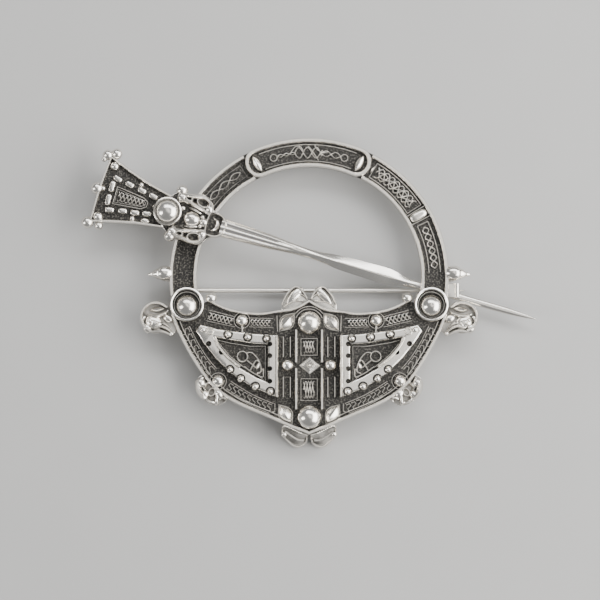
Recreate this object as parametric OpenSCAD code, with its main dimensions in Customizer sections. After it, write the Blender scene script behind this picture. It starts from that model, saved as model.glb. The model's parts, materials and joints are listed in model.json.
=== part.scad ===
// Pseudo-penannular brooch: closed hoop with a crescent plate, a long sliding pin
// and a plain needle on the back. Millimetres, +Z up, lying face up on its back fittings.
// The hoop's centre is the working origin; the module of each node shifts it so that the
// middle of the whole footprint lies on the Z axis.

/* [Hoop] */
// Outer diameter of the hoop
hoop_d = 50; // [44:0.5:56]
// Width of the flat band
band_w = 4.95; // [4.5:0.05:5.4]
// Width of each polished rim
rim_w = 0.62; // [0.5:0.01:0.8]
// Thickness of metal under the sunk floors
floor_t = 0.95; // [0.8:0.05:1.2]
// Height of the rims above the back
rim_h = 1.7; // [1.4:0.05:2]
// Height of the back above the surface that the brooch lies on
back_z = 2.8; // [2.7:0.05:3.2]

/* [Crescent plate] */
// Distance of each terminal cup from the middle line
cup_x = 21.83; // [21.4:0.01:22.2]
// How far the cups lie below the hoop's centre
cup_drop = 4.95; // [4.6:0.05:5.3]
// Outer radius of the terminal cups
cup_r = 3.06; // [2.9:0.02:3.2]
// Radius of the domes in the cups
cup_dome_r = 2.0; // [1.8:0.05:2.15]
// Height of the raised frames above the back
frame_h = 2.05; // [1.9:0.05:2.3]
// Radius of the large centre domes
centre_dome_r = 2.15; // [1.9:0.05:2.3]
// Height of the large domes above the back
dome_h = 3.1; // [2.8:0.1:3.4]

/* [Long pin] */
// Angle of the pin below the horizontal
pin_tilt = 16; // [14:0.5:18]
// Distance of the pin's line from the hoop's centre
pin_offset = 4.16; // [3.8:0.02:4.5]
// Distance from the foot of that line to the point
pin_tip = 41.2; // [38:0.2:43]
// Distance from the foot of that line to the wide end of the head
pin_head = 40.6; // [39:0.2:42]
// Clearance of the strap round the band
strap_gap = 0.22; // [0.15:0.01:0.3]
// Thickness of the strap
strap_t = 0.65; // [0.55:0.05:0.7]

/* [Back fittings] */
// Diameter of the needle
stem_d = 0.8; // [0.7:0.05:0.9]
// Height of the needle's middle above the surface
stem_z = 0.95; // [0.9:0.05:1.05]
// How far the needle lies below the hoop's centre
stem_drop = 2.07; // [1.9:0.01:2.2]
// Distance of the rivet from the middle line
hinge_x = 22.3; // [21.9:0.1:22.7]
// Distance of the needle's point from the middle line
stem_tip_x = 27.9; // [27.4:0.1:28.4]
// Diameter of the rivet
rivet_d = 0.6; // [0.56:0.02:0.64]

/* [Hidden] */
$fn = 48;

r_out = hoop_d / 2;
r_in = r_out - band_w;
floor_z = back_z + floor_t;
rim_z = back_z + rim_h;
frame_z = back_z + frame_h;
silver = "silver";

// Low relief: its height, its fine lines, its strands and how deep its root goes
relief_z = floor_z + 0.38;
line_w = 0.24;
hoop_strand_w = 0.38;
plate_strand_w = 0.32;
root = 0.1;
deep_root = 0.2;
bead_h = 0.45;
skin = 0.05;

// Ends of the hoop's band, measured from +X
hoop_from = -8;
hoop_to = 188;

// Half outline of the crescent plate, right of the middle line: [x, y]
top_edge = [[0, -4.0], [2.6, -5.4], [5.4, -5.9], [9.2, -6.35], [13.9, -5.7], [17.6, -4.1]];
outer_edge = [
    [24.7, -6.7], [23.5, -9.8], [21.3, -14.0], [18.9, -17.7], [16.9, -20.0],
    [14.4, -21.9], [11.2, -23.5], [7.6, -25.0], [3.8, -26.7], [0, -28.2]
];

// Triangular frame right of the centre strip, outside and inside: [x, y]
frame_outside = [
    [5.4, -10.3], [11.5, -9.8], [19.3, -8.6], [19.9, -10.0],
    [17.6, -13.2], [14.8, -16.2], [10.2, -19.4], [5.4, -21.8]
];
frame_inside = [[7.4, -12.0], [17.2, -10.6], [15.7, -13.2], [12.9, -15.9], [7.4, -18.8]];

// Beads on that frame: [x, y, radius]
frame_beads = [
    [8.1, -11.1, 0.72], [11.3, -10.8, 0.75], [14.5, -10.3, 0.78], [17.7, -9.7, 0.8],
    [14.0, -16.3, 0.72], [12.3, -17.9, 0.72], [9.9, -19.3, 0.72], [7.2, -20.4, 0.75]
];
// Notches across the frame's side next to the centre strip: y
frame_bars = [-11.9, -14.2, -16.6, -19.0];
bar_notch_x = 5.65;
bar_notch = [1.5, 0.6, 1];

// Plain round studs, right half: [x, y, radius, height above the back]
studs = [
    [17.6, -3.4, 0.92, 2.2], [12.05, -7.7, 1.08, 2.1], [16.25, -18.7, 1.1, 2.3],
    [3.8, -15.8, 1.1, 2.35]
];

// Marquise cabochons, right half: [x, y, turn]
cabochons = [[3.95, -8.05, 40], [4.2, -24.55, -34]];
// Half their width and length, height of the ridge and of the girdle
cabochon_w = 0.98;
cabochon_l = 1.92;
cabochon_h = 1.25;
cabochon_girdle = 0.25;
cabochon_rows = 8;

// Large domes of the centre strip: [y, radius]
centre_domes = [[-8.2, centre_dome_r], [-25.1, centre_dome_r + 0.1]];
// Lozenge between them: middle, corner radii, height, squeeze; then its round stud
lozenge_y = -15.8;
lozenge_r = [2.2, 0.6];
lozenge_h = 1.7;
lozenge_squeeze = 0.82;
lozenge_stud_r = 0.55;
// Raised rims of the centre strip
strip_x = 2.02;
strip_w = 0.63;
strip_from = -23.6;
strip_to = -9.4;

// Rings of the spiral in the frame, right half: [x, y, bend radius, wire radius, from, to]
spiral_rings = [
    [10.0, -14.0, 1.0, 0.24, -60, 240], [12.9, -13.2, 0.8, 0.22, 100, 400],
    [9.7, -16.1, 0.7, 0.22, 0, 300]
];
spiral_lift = 0.15;

// Thin-lined panels of the centre strip, right half or middle: [x0, y0, x1, y1]
side_panels = [[3.05, -14.4, 4.85, -10.7], [3.05, -21.4, 4.85, -17.9]];
middle_panels = [[-1.75, -13.9, 1.75, -11.2], [-1.75, -21.9, 1.75, -18.5]];

// Knotwork stretches of the hoop: [from, to, waves, 1 where lines frame it]
hoop_knots = [[72, 109, 4, 0], [121, 151, 3.5, 1], [35, 58, 3, 1], [3, 25, 3, 1]];
knot_reach = 0.85;
knot_frame_in = 1.15;
// Knotwork on the plate, right half: [x0, y0, x1, y1, waves, half width]
plate_knots = [
    [6.4, -8.1, 10.6, -8.2, 4, 0.7], [13.5, -7.7, 18.0, -6.7, 4, 0.8],
    [22.2, -9.3, 18.3, -15.9, 5, 0.8], [14.6, -19.2, 6.9, -23.4, 6, 0.8]
];
// Knots in the middle panels: y
middle_knots = [-12.55, -20.2];

// Rounded ends of the cartouche: [angle, 1 or -1 for the way to its middle]
cartouche_ends = [[63, 1], [118, -1]];
cartouche_wire_r = 0.36;
cartouche_bend_y = 3.0;
cartouche_bead_y = 1.875;
cartouche_bead_r = 1.15;
cartouche_bead_h = 0.75;
cross_bead_at = 29.5;
cross_bead_r = 0.72;

// Cones at the hoop's sides, and the pointed leaf behind each: [beyond the hoop, y]
cone_y = 0.6;
cone_lift = 0.25;
cone_drum = [1.15, 2.0];
cone_tip = [0.3, 2.2];
cone_leaf = [[-0.5, 2.4], [1.2, 2.1], [4.1, 0.5], [0.9, -1.1], [-0.5, -1.1]];

// Side heads: brow disc, cheek, curled jaw and beak
side_brow = [27.2, -7.2];
side_brow_r = 3.05;
side_brow_w = 0.45;
side_cheek = [27.5, -7.9, 1.3];
side_jaw = [26.6, -8.6, 1.5, 0.42, 120, 330];
side_beak = [27.4, -9.3];
side_beak_turn = 204;
side_beak_l = 3.2;

// Lower heads: brow disc, ring eye, snout across the rim and a small lobe
lower_brow = [18.1, -20.6];
lower_brow_r = 2.45;
lower_brow_w = 0.5;
lower_eye_r = [0.5, 0.95];
lower_snout = [[16.9, -19.2], [16.1, -22.5]];
lower_snout_w = 1.1;
lower_lobe = [15.25, -21.7, 0.7];

// Top heads: brow line, the corners under it and the eye
top_brow = [
    [0.4, -4.1], [1.2, -2.9], [2.2, -1.85], [3.0, -1.7], [3.9, -2.7], [4.7, -4.2], [5.1, -5.7]
];
top_base = [[4.6, -6.5], [0.2, -5.0]];
top_brow_w = 0.42;
top_eye = [2.5, -3.4, 0.72];

// Foot heads: petal seen from above, and how it bends back to the surface: [down, z]
foot_petal = [
    [0.5, -26.0], [0.35, -27.8], [0.9, -29.4], [2.3, -30.7], [3.7, -29.9],
    [4.7, -28.6], [5.0, -27.1], [4.4, -25.5]
];
low_y = -30.5;
foot_bend = [
    [26.0, back_z], [26.0, floor_z], [27.6, floor_z + 0.1], [29.0, floor_z - 0.5],
    [30.0, floor_z - 1.6], [30.5, 1.0], [-low_y, 0], [29.5, 0], [29.2, 1.0],
    [28.6, back_z - 0.8], [27.6, back_z - 0.1]
];

// Strap that closes round the band: middle and half its stretch, in degrees
strap_at = 154;
strap_half = 5;
strap_top_z = rim_z + strap_gap;
strap_arm = 0.9;

// Shaft of the long pin: [distance along the pin, half width, half thickness]
shaft_rows = [
    [-17.6, 1.75, 0.95], [-14.1, 1.60, 0.92], [-11.3, 1.47, 0.88], [-8.5, 1.32, 0.82],
    [-5.6, 1.06, 0.76], [-2.9, 0.87, 0.72], [0.3, 0.87, 0.68], [2.7, 1.08, 0.64],
    [5.0, 1.32, 0.60], [9.5, 1.42, 0.54], [12.4, 1.52, 0.48], [14.2, 1.42, 0.45],
    [16.2, 0.96, 0.45], [18.6, 0.70, 0.45], [25.2, 0.65, 0.43], [34.9, 0.60, 0.40],
    [39.0, 0.36, 0.27], [pin_tip, 0.06, 0.06]
];
shaft_top_z = 5.55;
shaft_low_z = 2.1;
shaft_drop_from = -17.6;
shaft_drop_to = 14.2;

// Head plate of the long pin in pin coordinates: [along, across]
head_outline = [
    [-pin_head, 0.7], [-40.5, -5.4], [-37.0, -4.6], [-32.5, -3.6], [-27.6, -2.9],
    [-27.6, 3.0], [-32.0, 4.15], [-36.0, 5.45], [-40.1, 6.9]
];
head_z = 4.1;
head_floor_z = head_z + 0.9;
head_rim_z = head_z + 1.6;
// Balls on and round the head: [along, across, radius, height of the middle]
head_balls = [
    [-40.7, 7.0, 0.92, 5.0], [-39.2, 7.6, 0.92, 5.0], [-40.8, -5.7, 1.12, 5.0],
    [-38.8, -5.5, 0.8, 5.0], [-40.9, 0.7, 1.1, 4.9], [-38.9, 5.3, 0.85, 5.2],
    [-39.2, -4.1, 0.9, 5.2], [-39.6, 0.9, 0.5, 5.3], [-33.4, 3.4, 0.5, 5.2],
    [-33.3, -2.9, 0.5, 5.2], [-26.1, 4.4, 1.0, 5.4], [-26.0, -4.0, 1.05, 5.4]
];
// Nibs round the head's panel: [along, across]
head_nibs = [
    [-37.7, 3.2], [-35.4, 2.9], [-33.0, 2.5], [-30.7, 2.0],
    [-37.6, -2.5], [-35.3, -2.1], [-33.1, -1.8], [-31.0, -1.4]
];
nib_size = [1.5, 0.84, 0.8];
// Two bars across the head's wide end: lower edge of each
head_bars = [-1.7, 0.7];
bar_x = -38.7;
bar_size = [0.9, 2.0, 0.8];
head_panel = [[-37.0, 1.9], [-37.0, -1.3], [-32.0, -0.75], [-32.0, 1.25]];
// Linked rings in the panel: along
panel_rings = [-35.9, -34.5, -33.12];
panel_ring_r = 0.48;
panel_ring_wire = 0.18;
// Neck between head and shaft: [along, upper edge, lower edge]
neck_rows = [
    [-28.0, 2.7, -2.7], [-26.6, 4.0, -3.7], [-25.0, 3.6, -3.4], [-23.2, 4.1, -3.3],
    [-21.6, 4.5, -3.9], [-20.2, 3.8, -4.2], [-19.2, 2.2, -3.2], [-17.4, 1.9, -1.9]
];
neck_h = 1.1;
neck_top_z = strap_top_z + neck_h;
// Domes of the neck's beast: [along, foot radius, height]
snout_domes = [[-22.7, 1.45, 1.25], [-20.7, 0.85, 0.85]];
// Its curls: [along, across, above the neck, bend radius, wire radius, from, to]
neck_curls = [
    [-21.9, 3.2, 0.05, 0.85, 0.45, 0, 360], [-20.9, -3.0, 0.05, 0.85, 0.45, 0, 360],
    [-24.6, 3.5, 0, 1.5, 0.4, 20, 160], [-24.3, -3.4, 0, 1.5, 0.4, 200, 340]
];
neck_ball = [-25.0, 1.5, 0.6];
// Boss over the joint of head and neck: cup and dome
boss_at = -27.5;
boss_r = 2.6;
boss_wall = 0.4;
boss_floor_z = head_z + 2.0;
boss_solid_h = 2.4;
boss_h = 2.9;
boss_dome_r = 2.0;
boss_top_z = 8.0;
collar_at = -18.9;
collar_r = 2.3;
collar_h = 2.0;

// Eye of the needle between the two ears that hold its rivet
eye_w = 1.0;
eye_r = 0.85;
ear_gap = 0.12;
ear_t = 0.8;
ear_r = 0.65;
bore_play = 0.06;
eye_play = 0.1;
rivet_head_r = 0.55;
rivet_head_t = 0.2;
// Needle's point
taper_from = 16;
point_d = 0.2;

// Catch: bent hook beside the needle, and the tab and roll that carry it
hook_in = 0.5;
hook_t = 0.45;
hook_w = 1.5;
hook_from = 42;
hook_turn = 50;
hook_x = r_out - 0.15;
tab_from = -3.6;
tab_l = 2.6;
tab_t = 0.7;
roll_r = 0.45;
roll_l = 2.4;

// Footprint, for the shift to its middle
low_ball = head_balls[2];
low_x = foot_x(low_ball[0], low_ball[1]) - low_ball[2];
high_x = foot_x(pin_tip, 0);
high_y = r_out;
shift = [-(low_x + high_x) / 2, -(low_y + high_y) / 2, 0];

function foot_x(along, across) =
    along * cos(pin_tilt) + (pin_offset + across) * sin(pin_tilt);
function polar(r, a) = [r * cos(a), r * sin(a)];
function unit(v) = v / norm(v);
function reversed(list) = [for (i = [len(list) - 1:-1:0]) list[i]];
function mirrored(list) = [for (p = reversed(list)) [-p[0], p[1]]];
function after_first(list) = [for (i = [1:len(list) - 1]) list[i]];

// Smooth line through the points, a few steps to each stretch
function blend(a, b, c, d, t) =
    0.5 * (2 * b + (c - a) * t + (2 * a - 5 * b + 4 * c - d) * t * t
    + (3 * b - a - 3 * c + d) * t * t * t);
function smooth_line(p, steps) = [
    for (i = [0:len(p) - 2], k = [0:steps - 1])
        blend(p[max(i - 1, 0)], p[i], p[i + 1], p[min(i + 2, len(p) - 1)], k / steps),
    p[len(p) - 1]
];
// The same line moved sideways, to its left where the distance is positive
function side_step(p, i, d) =
    let (v = unit(p[min(i + 1, len(p) - 1)] - p[max(i - 1, 0)])) p[i] + d * [-v[1], v[0]];
function moved_line(p, d) = [for (i = [0:len(p) - 1]) side_step(p, i, d)];
function strip_outline(p, a, b) = concat(moved_line(p, a), reversed(moved_line(p, b)));
// A closed outline, drawn in from every side by a distance
function inset_corner(a, b, c, d) =
    let (u = unit(b - a), v = unit(c - b), m = [-u[1] - v[1], u[0] + v[0]])
    b + m * d / (1 + u * v);
function inset(p, d) = [for (i = [0:len(p) - 1])
    inset_corner(p[(i + len(p) - 1) % len(p)], p[i], p[(i + 1) % len(p)], d)];

top_half = smooth_line(top_edge, 3);
outer_half = smooth_line(outer_edge, 3);
top_line = concat(mirrored(top_half), after_first(top_half));
outer_line = concat(outer_half, after_first(mirrored(outer_half)));

// Flat strip along a line, from the back up to a height
module strip(line, a, b, z_low, z_high) {
    translate([0, 0, z_low]) linear_extrude(z_high - z_low) polygon(strip_outline(line, a, b));
}
module outline_rim(outline, w, z_low, z_high) {
    translate([0, 0, z_low]) linear_extrude(z_high - z_low) difference() {
        polygon(outline);
        polygon(inset(outline, w));
    }
}
// Plate under a rim, drawn in a little so that it ends inside the rim
module floor_plate(outline, z_low, z_high) {
    translate([0, 0, z_low + skin]) linear_extrude(z_high - z_low - skin)
        polygon(inset(outline, skin));
}
module both_sides() {
    children();
    mirror([1, 0, 0]) children();
}
module turned_part(profile, from, to) {
    rotate([0, 0, from]) rotate_extrude(angle = to - from, $fn = 160) polygon(profile);
}
module ring_part(r_a, r_b, z_a, z_b, from, to) {
    turned_part([[r_a, z_a], [r_b, z_a], [r_b, z_b], [r_a, z_b]], from, to);
}
// Round wire bent to an arc, its middle line at height z
module curl(x, y, z, bend_r, wire_r, from, to) {
    translate([x, y, z]) rotate([0, 0, from])
        rotate_extrude(angle = to - from, $fn = 32) translate([bend_r, 0]) circle(wire_r, $fn = 20);
}
// Dome of a given foot radius that rises to a height above the back
module dome(x, y, foot_r, foot_z, top_z, sunk = 0.25) {
    rise = top_z - foot_z;
    ball_r = (foot_r * foot_r + rise * rise) / (2 * rise);
    translate([x, y, foot_z]) rotate_extrude($fn = 40) intersection() {
        translate([0, rise - ball_r]) circle(ball_r, $fn = 60);
        translate([0, -sunk]) square([foot_r, rise + sunk + 1]);
    }
}
module panel_line(x0, y0, x1, y1, z_low, z_high) {
    difference() {
        translate([x0, y0, z_low]) cube([x1 - x0, y1 - y0, z_high - z_low]);
        translate([x0 + line_w, y0 + line_w, z_low - 1])
            cube([x1 - x0 - 2 * line_w, y1 - y0 - 2 * line_w, z_high - z_low + 2]);
    }
}

// Two waving strands that cross, laid along the band
module hoop_knot(from, to, waves) {
    steps = round(waves * 6);
    mid_r = r_in + band_w / 2;
    for (side = [-1, 1]) {
        wave = [for (i = [0:steps])
            let (t = i / steps) polar(mid_r + side * knot_reach * sin(180 * waves * t),
            from + (to - from) * t)];
        strip(wave, hoop_strand_w / 2, -hoop_strand_w / 2, floor_z - root, relief_z);
    }
}

module plate_knot(a, b, waves, reach) {
    steps = round(waves * 5);
    across = unit([a[1] - b[1], b[0] - a[0]]);
    for (side = [-1, 1]) {
        wave = [for (i = [0:steps])
            let (t = i / steps) a + (b - a) * t + side * reach * sin(180 * waves * t) * across];
        strip(wave, plate_strand_w / 2, -plate_strand_w / 2, floor_z - root, relief_z);
    }
}

module hoop() {
    turned_part([
        [r_in, back_z], [r_out, back_z], [r_out, rim_z], [r_out - rim_w, rim_z],
        [r_out - rim_w, floor_z], [r_in + rim_w, floor_z], [r_in + rim_w, rim_z], [r_in, rim_z]
    ], hoop_from, hoop_to);
    for (k = hoop_knots) {
        hoop_knot(k[0], k[1], k[2]);
        if (k[3] == 1)
            for (r = [r_in + knot_frame_in, r_out - knot_frame_in - line_w])
                ring_part(r, r + line_w, floor_z - root, relief_z, k[0], k[1]);
    }
    // Rounded ends of the long top cartouche, each with a convex bead
    for (end = cartouche_ends) rotate([0, 0, end[0]]) {
        curl(r_in + band_w / 2, end[1] * cartouche_bend_y, floor_z + 0.4, band_w / 2 - 0.3,
            cartouche_wire_r, 90 + end[1] * 90, 270 + end[1] * 90);
        dome(r_in + band_w / 2, end[1] * cartouche_bead_y, cartouche_bead_r, floor_z,
            floor_z + cartouche_bead_h, 0.2);
    }
    // Convex bead across the band
    rotate([0, 0, cross_bead_at]) translate([r_in + rim_w - 0.2, 0, floor_z])
        rotate([0, 90, 0]) cylinder(r = cross_bead_r, h = band_w - 2 * rim_w + 0.4, $fn = 32);
}

module terminal_cup() {
    wall = 0.5;
    wall_h = frame_h + 0.15;
    translate([cup_x, -cup_drop, back_z]) rotate_extrude() polygon([
        [0, 0], [cup_r, 0], [cup_r, wall_h], [cup_r - wall, wall_h],
        [cup_r - wall, floor_t - root], [0, floor_t - root]
    ]);
    dome(cup_x, -cup_drop - 0.15, cup_dome_r, floor_z - root, back_z + dome_h);
}

module plate_half_relief() {
    // Fine line beside the outer rim
    strip([for (i = [2:len(outer_half) - 9]) outer_half[i]], -1.15, -1.15 - line_w,
        floor_z - root, relief_z);
    // Triangular frame with its beads, bars and spiral
    difference() {
        translate([0, 0, floor_z - deep_root]) linear_extrude(frame_z - floor_z + deep_root)
            difference() {
                polygon(frame_outside);
                polygon(frame_inside);
            }
        for (y = frame_bars) translate([bar_notch_x, y - bar_notch[1] / 2, frame_z - 0.3])
            cube(bar_notch);
    }
    for (b = frame_beads) dome(b[0], b[1], b[2], frame_z, frame_z + bead_h, 0.2);
    for (c = spiral_rings) curl(c[0], c[1], floor_z + spiral_lift, c[2], c[3], c[4], c[5]);
    // Centre strip
    translate([strip_x, strip_from, floor_z - deep_root])
        cube([strip_w, strip_to - strip_from, frame_z - floor_z + 0.3]);
    for (p = side_panels) panel_line(p[0], p[1], p[2], p[3], floor_z - root, relief_z);
    for (s = studs) dome(s[0], s[1], s[2], floor_z, back_z + s[3], floor_t - root);
    for (c = cabochons) cabochon(c[0], c[1], c[2]);
    for (k = plate_knots) plate_knot([k[0], k[1]], [k[2], k[3]], k[4], k[5]);
}

// Pointed stone-like lens with a ridge from tip to tip
module cabochon(x, y, turn) {
    tip = 0.03;
    points = [for (i = [0:cabochon_rows])
        let (t = 2 * i / cabochon_rows - 1, w = tip + cabochon_w * (1 - t * t),
            h = tip + cabochon_h * pow(1 - t * t, 0.7), girdle = min(cabochon_girdle, h - tip / 2))
        for (q = [[-w, -deep_root], [-w, girdle], [0, h], [w, girdle], [w, -deep_root]])
            [q[0], t * cabochon_l, q[1]]];
    translate([x, y, floor_z]) rotate([0, 0, turn]) loft(points, 5);
}

// Tapered cone on a drum, pointing outward from the hoop
module side_cone() {
    translate([r_out - 0.3, cone_y, floor_z + cone_lift]) rotate([0, 90, 0]) {
        cylinder(r = cone_drum[0], h = cone_drum[1], $fn = 32);
        translate([0, 0, cone_drum[1]])
            cylinder(r1 = cone_drum[0], r2 = cone_tip[0], h = cone_tip[1], $fn = 32);
    }
    translate([r_out, 0, back_z + deep_root]) linear_extrude(0.7) polygon(cone_leaf);
}

// Side head: round brow with a raised rim, a cheek, a curled jaw and a beak
module side_head() {
    translate([side_brow[0], side_brow[1], 0]) {
        translate([0, 0, back_z + skin]) cylinder(r = side_brow_r - skin, h = floor_t - skin);
        ring_part(side_brow_r - side_brow_w, side_brow_r, back_z, rim_z + 0.2, -75, 140);
    }
    dome(side_cheek[0], side_cheek[1], side_cheek[2], floor_z, back_z + 2.2, 0.2);
    curl(side_jaw[0], side_jaw[1], floor_z + 0.4, side_jaw[2], side_jaw[3], side_jaw[4],
        side_jaw[5]);
    translate([side_beak[0], side_beak[1], floor_z + root]) rotate([0, 90, side_beak_turn])
        cylinder(r1 = 0.75, r2 = 0.4, h = side_beak_l, $fn = 32);
}

// Lower head: a round brow, a ring eye and a straight snout across the plate's rim
module lower_head() {
    translate([lower_brow[0], lower_brow[1], 0]) {
        translate([0, 0, back_z + skin]) cylinder(r = lower_brow_r - skin, h = floor_t);
        ring_part(lower_brow_r - lower_brow_w, lower_brow_r, back_z, rim_z + 0.1, -100, 55);
        ring_part(lower_eye_r[0], lower_eye_r[1], floor_z - deep_root, floor_z + 0.6, 0, 360);
    }
    strip(lower_snout, lower_snout_w / 2, -lower_snout_w / 2, back_z + root, floor_z + 0.8);
    dome(lower_lobe[0], lower_lobe[1], lower_lobe[2], floor_z - deep_root, floor_z + 0.45, 0.5);
}

// Top head: a leaf that rises from the plate's upper edge, with a bright brow
module top_head() {
    brow = smooth_line(top_brow, 2);
    floor_plate(reversed(concat(brow, top_base)), back_z, floor_z + root);
    strip(brow, 0, -top_brow_w, back_z, rim_z);
    dome(top_eye[0], top_eye[1], top_eye[2], floor_z, floor_z + 0.75, 0.2);
}

// Foot head: a petal that bends back until its edge rests on the surface
module foot_head() {
    intersection() {
        translate([6, 0, 0]) rotate([90, 0, -90]) linear_extrude(8) polygon(foot_bend);
        linear_extrude(6) polygon(smooth_line(foot_petal, 2));
    }
}

// Two ears with rounded feet; they carry the needle's rivet and rest on the surface
module hinge_ears() {
    for (side = [-1, 1])
        translate([-hinge_x, -stem_drop + side * (eye_w / 2 + ear_gap + ear_t / 2), 0])
            difference() {
                union() {
                    translate([0, 0, ear_r]) rotate([90, 0, 0])
                        cylinder(r = ear_r, h = ear_t, center = true);
                    translate([-ear_r, -ear_t / 2, ear_r])
                        cube([2 * ear_r, ear_t, back_z - ear_r + 0.3]);
                }
                translate([0, 0, stem_z]) rotate([90, 0, 0])
                    cylinder(d = rivet_d + bore_play, h = ear_t + 1, center = true);
            }
}
// Catch: a tab at the hoop's edge, a post and an open hook under the needle
module catch_hook() {
    translate([hook_x - 0.3, tab_from, back_z]) cube([hook_w + 0.4, tab_l, tab_t]);
    translate([hook_x + hook_w + 0.1, tab_from + tab_l / 2, back_z + 0.5]) rotate([90, 0, 0])
        cylinder(r = roll_r, h = roll_l, center = true, $fn = 32);
    translate([hook_x, -stem_drop + hook_in, stem_z])
        cube([hook_w, hook_t, back_z - stem_z + 0.3]);
    translate([hook_x, -stem_drop, stem_z]) rotate([0, 90, 0]) rotate([0, 0, hook_from])
        rotate_extrude(angle = hook_turn) translate([hook_in, 0]) square([hook_t, hook_w]);
}

module crescent_plate() {
    floor_plate(reversed(concat(mirrored(top_half), after_first(top_half), outer_half,
        after_first(mirrored(outer_half)))), back_z, floor_z);
    strip(top_line, 0, -rim_w + 0.1, back_z, rim_z);
    strip(outer_line, 0, -rim_w, back_z, rim_z);
    both_sides() plate_half_relief();
    for (p = middle_panels) panel_line(p[0], p[1], p[2], p[3], floor_z - root, relief_z);
    for (y = middle_knots) plate_knot([-1.35, y], [1.35, y], 3, 0.55);
    for (d = centre_domes) dome(0, d[0], d[1], floor_z, back_z + dome_h, 0.2);
    // Lozenge, and the small round stud on it
    translate([0, lozenge_y, floor_z - deep_root]) scale([1, lozenge_squeeze, 1])
        cylinder(r1 = lozenge_r[0], r2 = lozenge_r[1], h = lozenge_h, $fn = 4);
    dome(0, lozenge_y, lozenge_stud_r, floor_z + 1.2, floor_z + 1.75, 0.3);
}

module body_solid() {
    hoop();
    crescent_plate();
    both_sides() {
        terminal_cup();
        side_cone();
        side_head();
        lower_head();
        top_head();
        foot_head();
    }
    hinge_ears();
    catch_hook();
}

function shaft_z(along) =
    along >= shaft_drop_to ? shaft_low_z :
    shaft_top_z + (shaft_low_z - shaft_top_z) * (along - shaft_drop_from)
    / (shaft_drop_to - shaft_drop_from);

// Solid through sections of n points each, given one after the other
module loft(points, n) {
    last = len(points) / n - 1;
    sides = [for (i = [0:last - 1], k = [0:n - 1])
        [i * n + k, (i + 1) * n + k, (i + 1) * n + (k + 1) % n, i * n + (k + 1) % n]];
    caps = [[for (k = [0:n - 1]) k], [for (k = [n - 1:-1:0]) last * n + k]];
    polyhedron(points, concat(sides, caps), convexity = 4);
}

// Shaft with eight-sided sections and a ridge along its top
module shaft() {
    ring = [[1, 0], [0.78, 0.62], [0, 1], [-0.78, 0.62], [-1, 0], [-0.72, -0.8], [0, -1],
        [0.72, -0.8]];
    loft([for (row = shaft_rows, p = ring)
        [row[0], p[0] * row[1], shaft_z(row[0]) + p[1] * row[2]]], len(ring));
}

module pin_head_plate() {
    floor_plate(head_outline, head_z, head_floor_z);
    outline_rim(head_outline, 0.5, head_z, head_rim_z);
    for (b = head_balls) translate([b[0], b[1], b[3]]) sphere(b[2], $fn = 32);
    for (p = head_nibs)
        translate([p[0] - nib_size[0] / 2, p[1] - nib_size[1] / 2, head_floor_z - deep_root])
            cube(nib_size);
    for (y = head_bars) translate([bar_x, y, head_floor_z - deep_root]) cube(bar_size);
    outline_rim(head_panel, 0.28, head_floor_z - deep_root, head_floor_z + 0.35);
    for (x = panel_rings)
        curl(x, 0.25, head_floor_z + root, panel_ring_r, panel_ring_wire, 0, 360);
}

module pin_neck() {
    upper = [for (r = neck_rows) [r[0], r[1]]];
    lower = [for (r = neck_rows) [r[0], r[2]]];
    // Bridge that joins head and neck outside the hoop
    translate([boss_at, 0, head_z]) cylinder(r = boss_r, h = boss_solid_h);
    translate([0, 0, strap_top_z]) linear_extrude(neck_h)
        polygon(concat(smooth_line(upper, 2), reversed(smooth_line(lower, 2))));
    difference() {
        translate([boss_at, 0, head_z]) cylinder(r = boss_r, h = boss_h);
        translate([boss_at, 0, boss_floor_z]) cylinder(r = boss_r - boss_wall, h = 2);
    }
    dome(boss_at, 0, boss_dome_r, boss_floor_z, boss_top_z, 0.3);
    // Snout, curls and ball of the neck's beast
    for (d = snout_domes) dome(d[0], 0, d[1], neck_top_z, neck_top_z + d[2], 0.3);
    for (c = neck_curls) curl(c[0], c[1], neck_top_z + c[2], c[3], c[4], c[5], c[6]);
    translate([neck_ball[0], neck_ball[1], neck_top_z]) sphere(neck_ball[2], $fn = 32);
    // Half-round collar where the shaft leaves the neck
    translate([collar_at, 0, 0]) {
        ring_part(collar_r - 0.5, collar_r, strap_top_z, strap_top_z + collar_h, -90, 90);
        ring_part(0, collar_r - 0.25, strap_top_z, strap_top_z + collar_h - 0.6, -90, 90);
    }
}

module strap() {
    from = strap_at - strap_half;
    to = strap_at + strap_half;
    low = back_z - strap_gap - strap_t;
    high = strap_top_z + strap_arm;
    ring_part(r_in - strap_gap - strap_t, r_out + strap_gap + strap_t, low,
        back_z - strap_gap, from, to);
    ring_part(r_in - strap_gap - strap_t, r_in - strap_gap, low, high, from, to);
    ring_part(r_out + strap_gap, r_out + strap_gap + strap_t, low, high, from, to);
}

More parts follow.
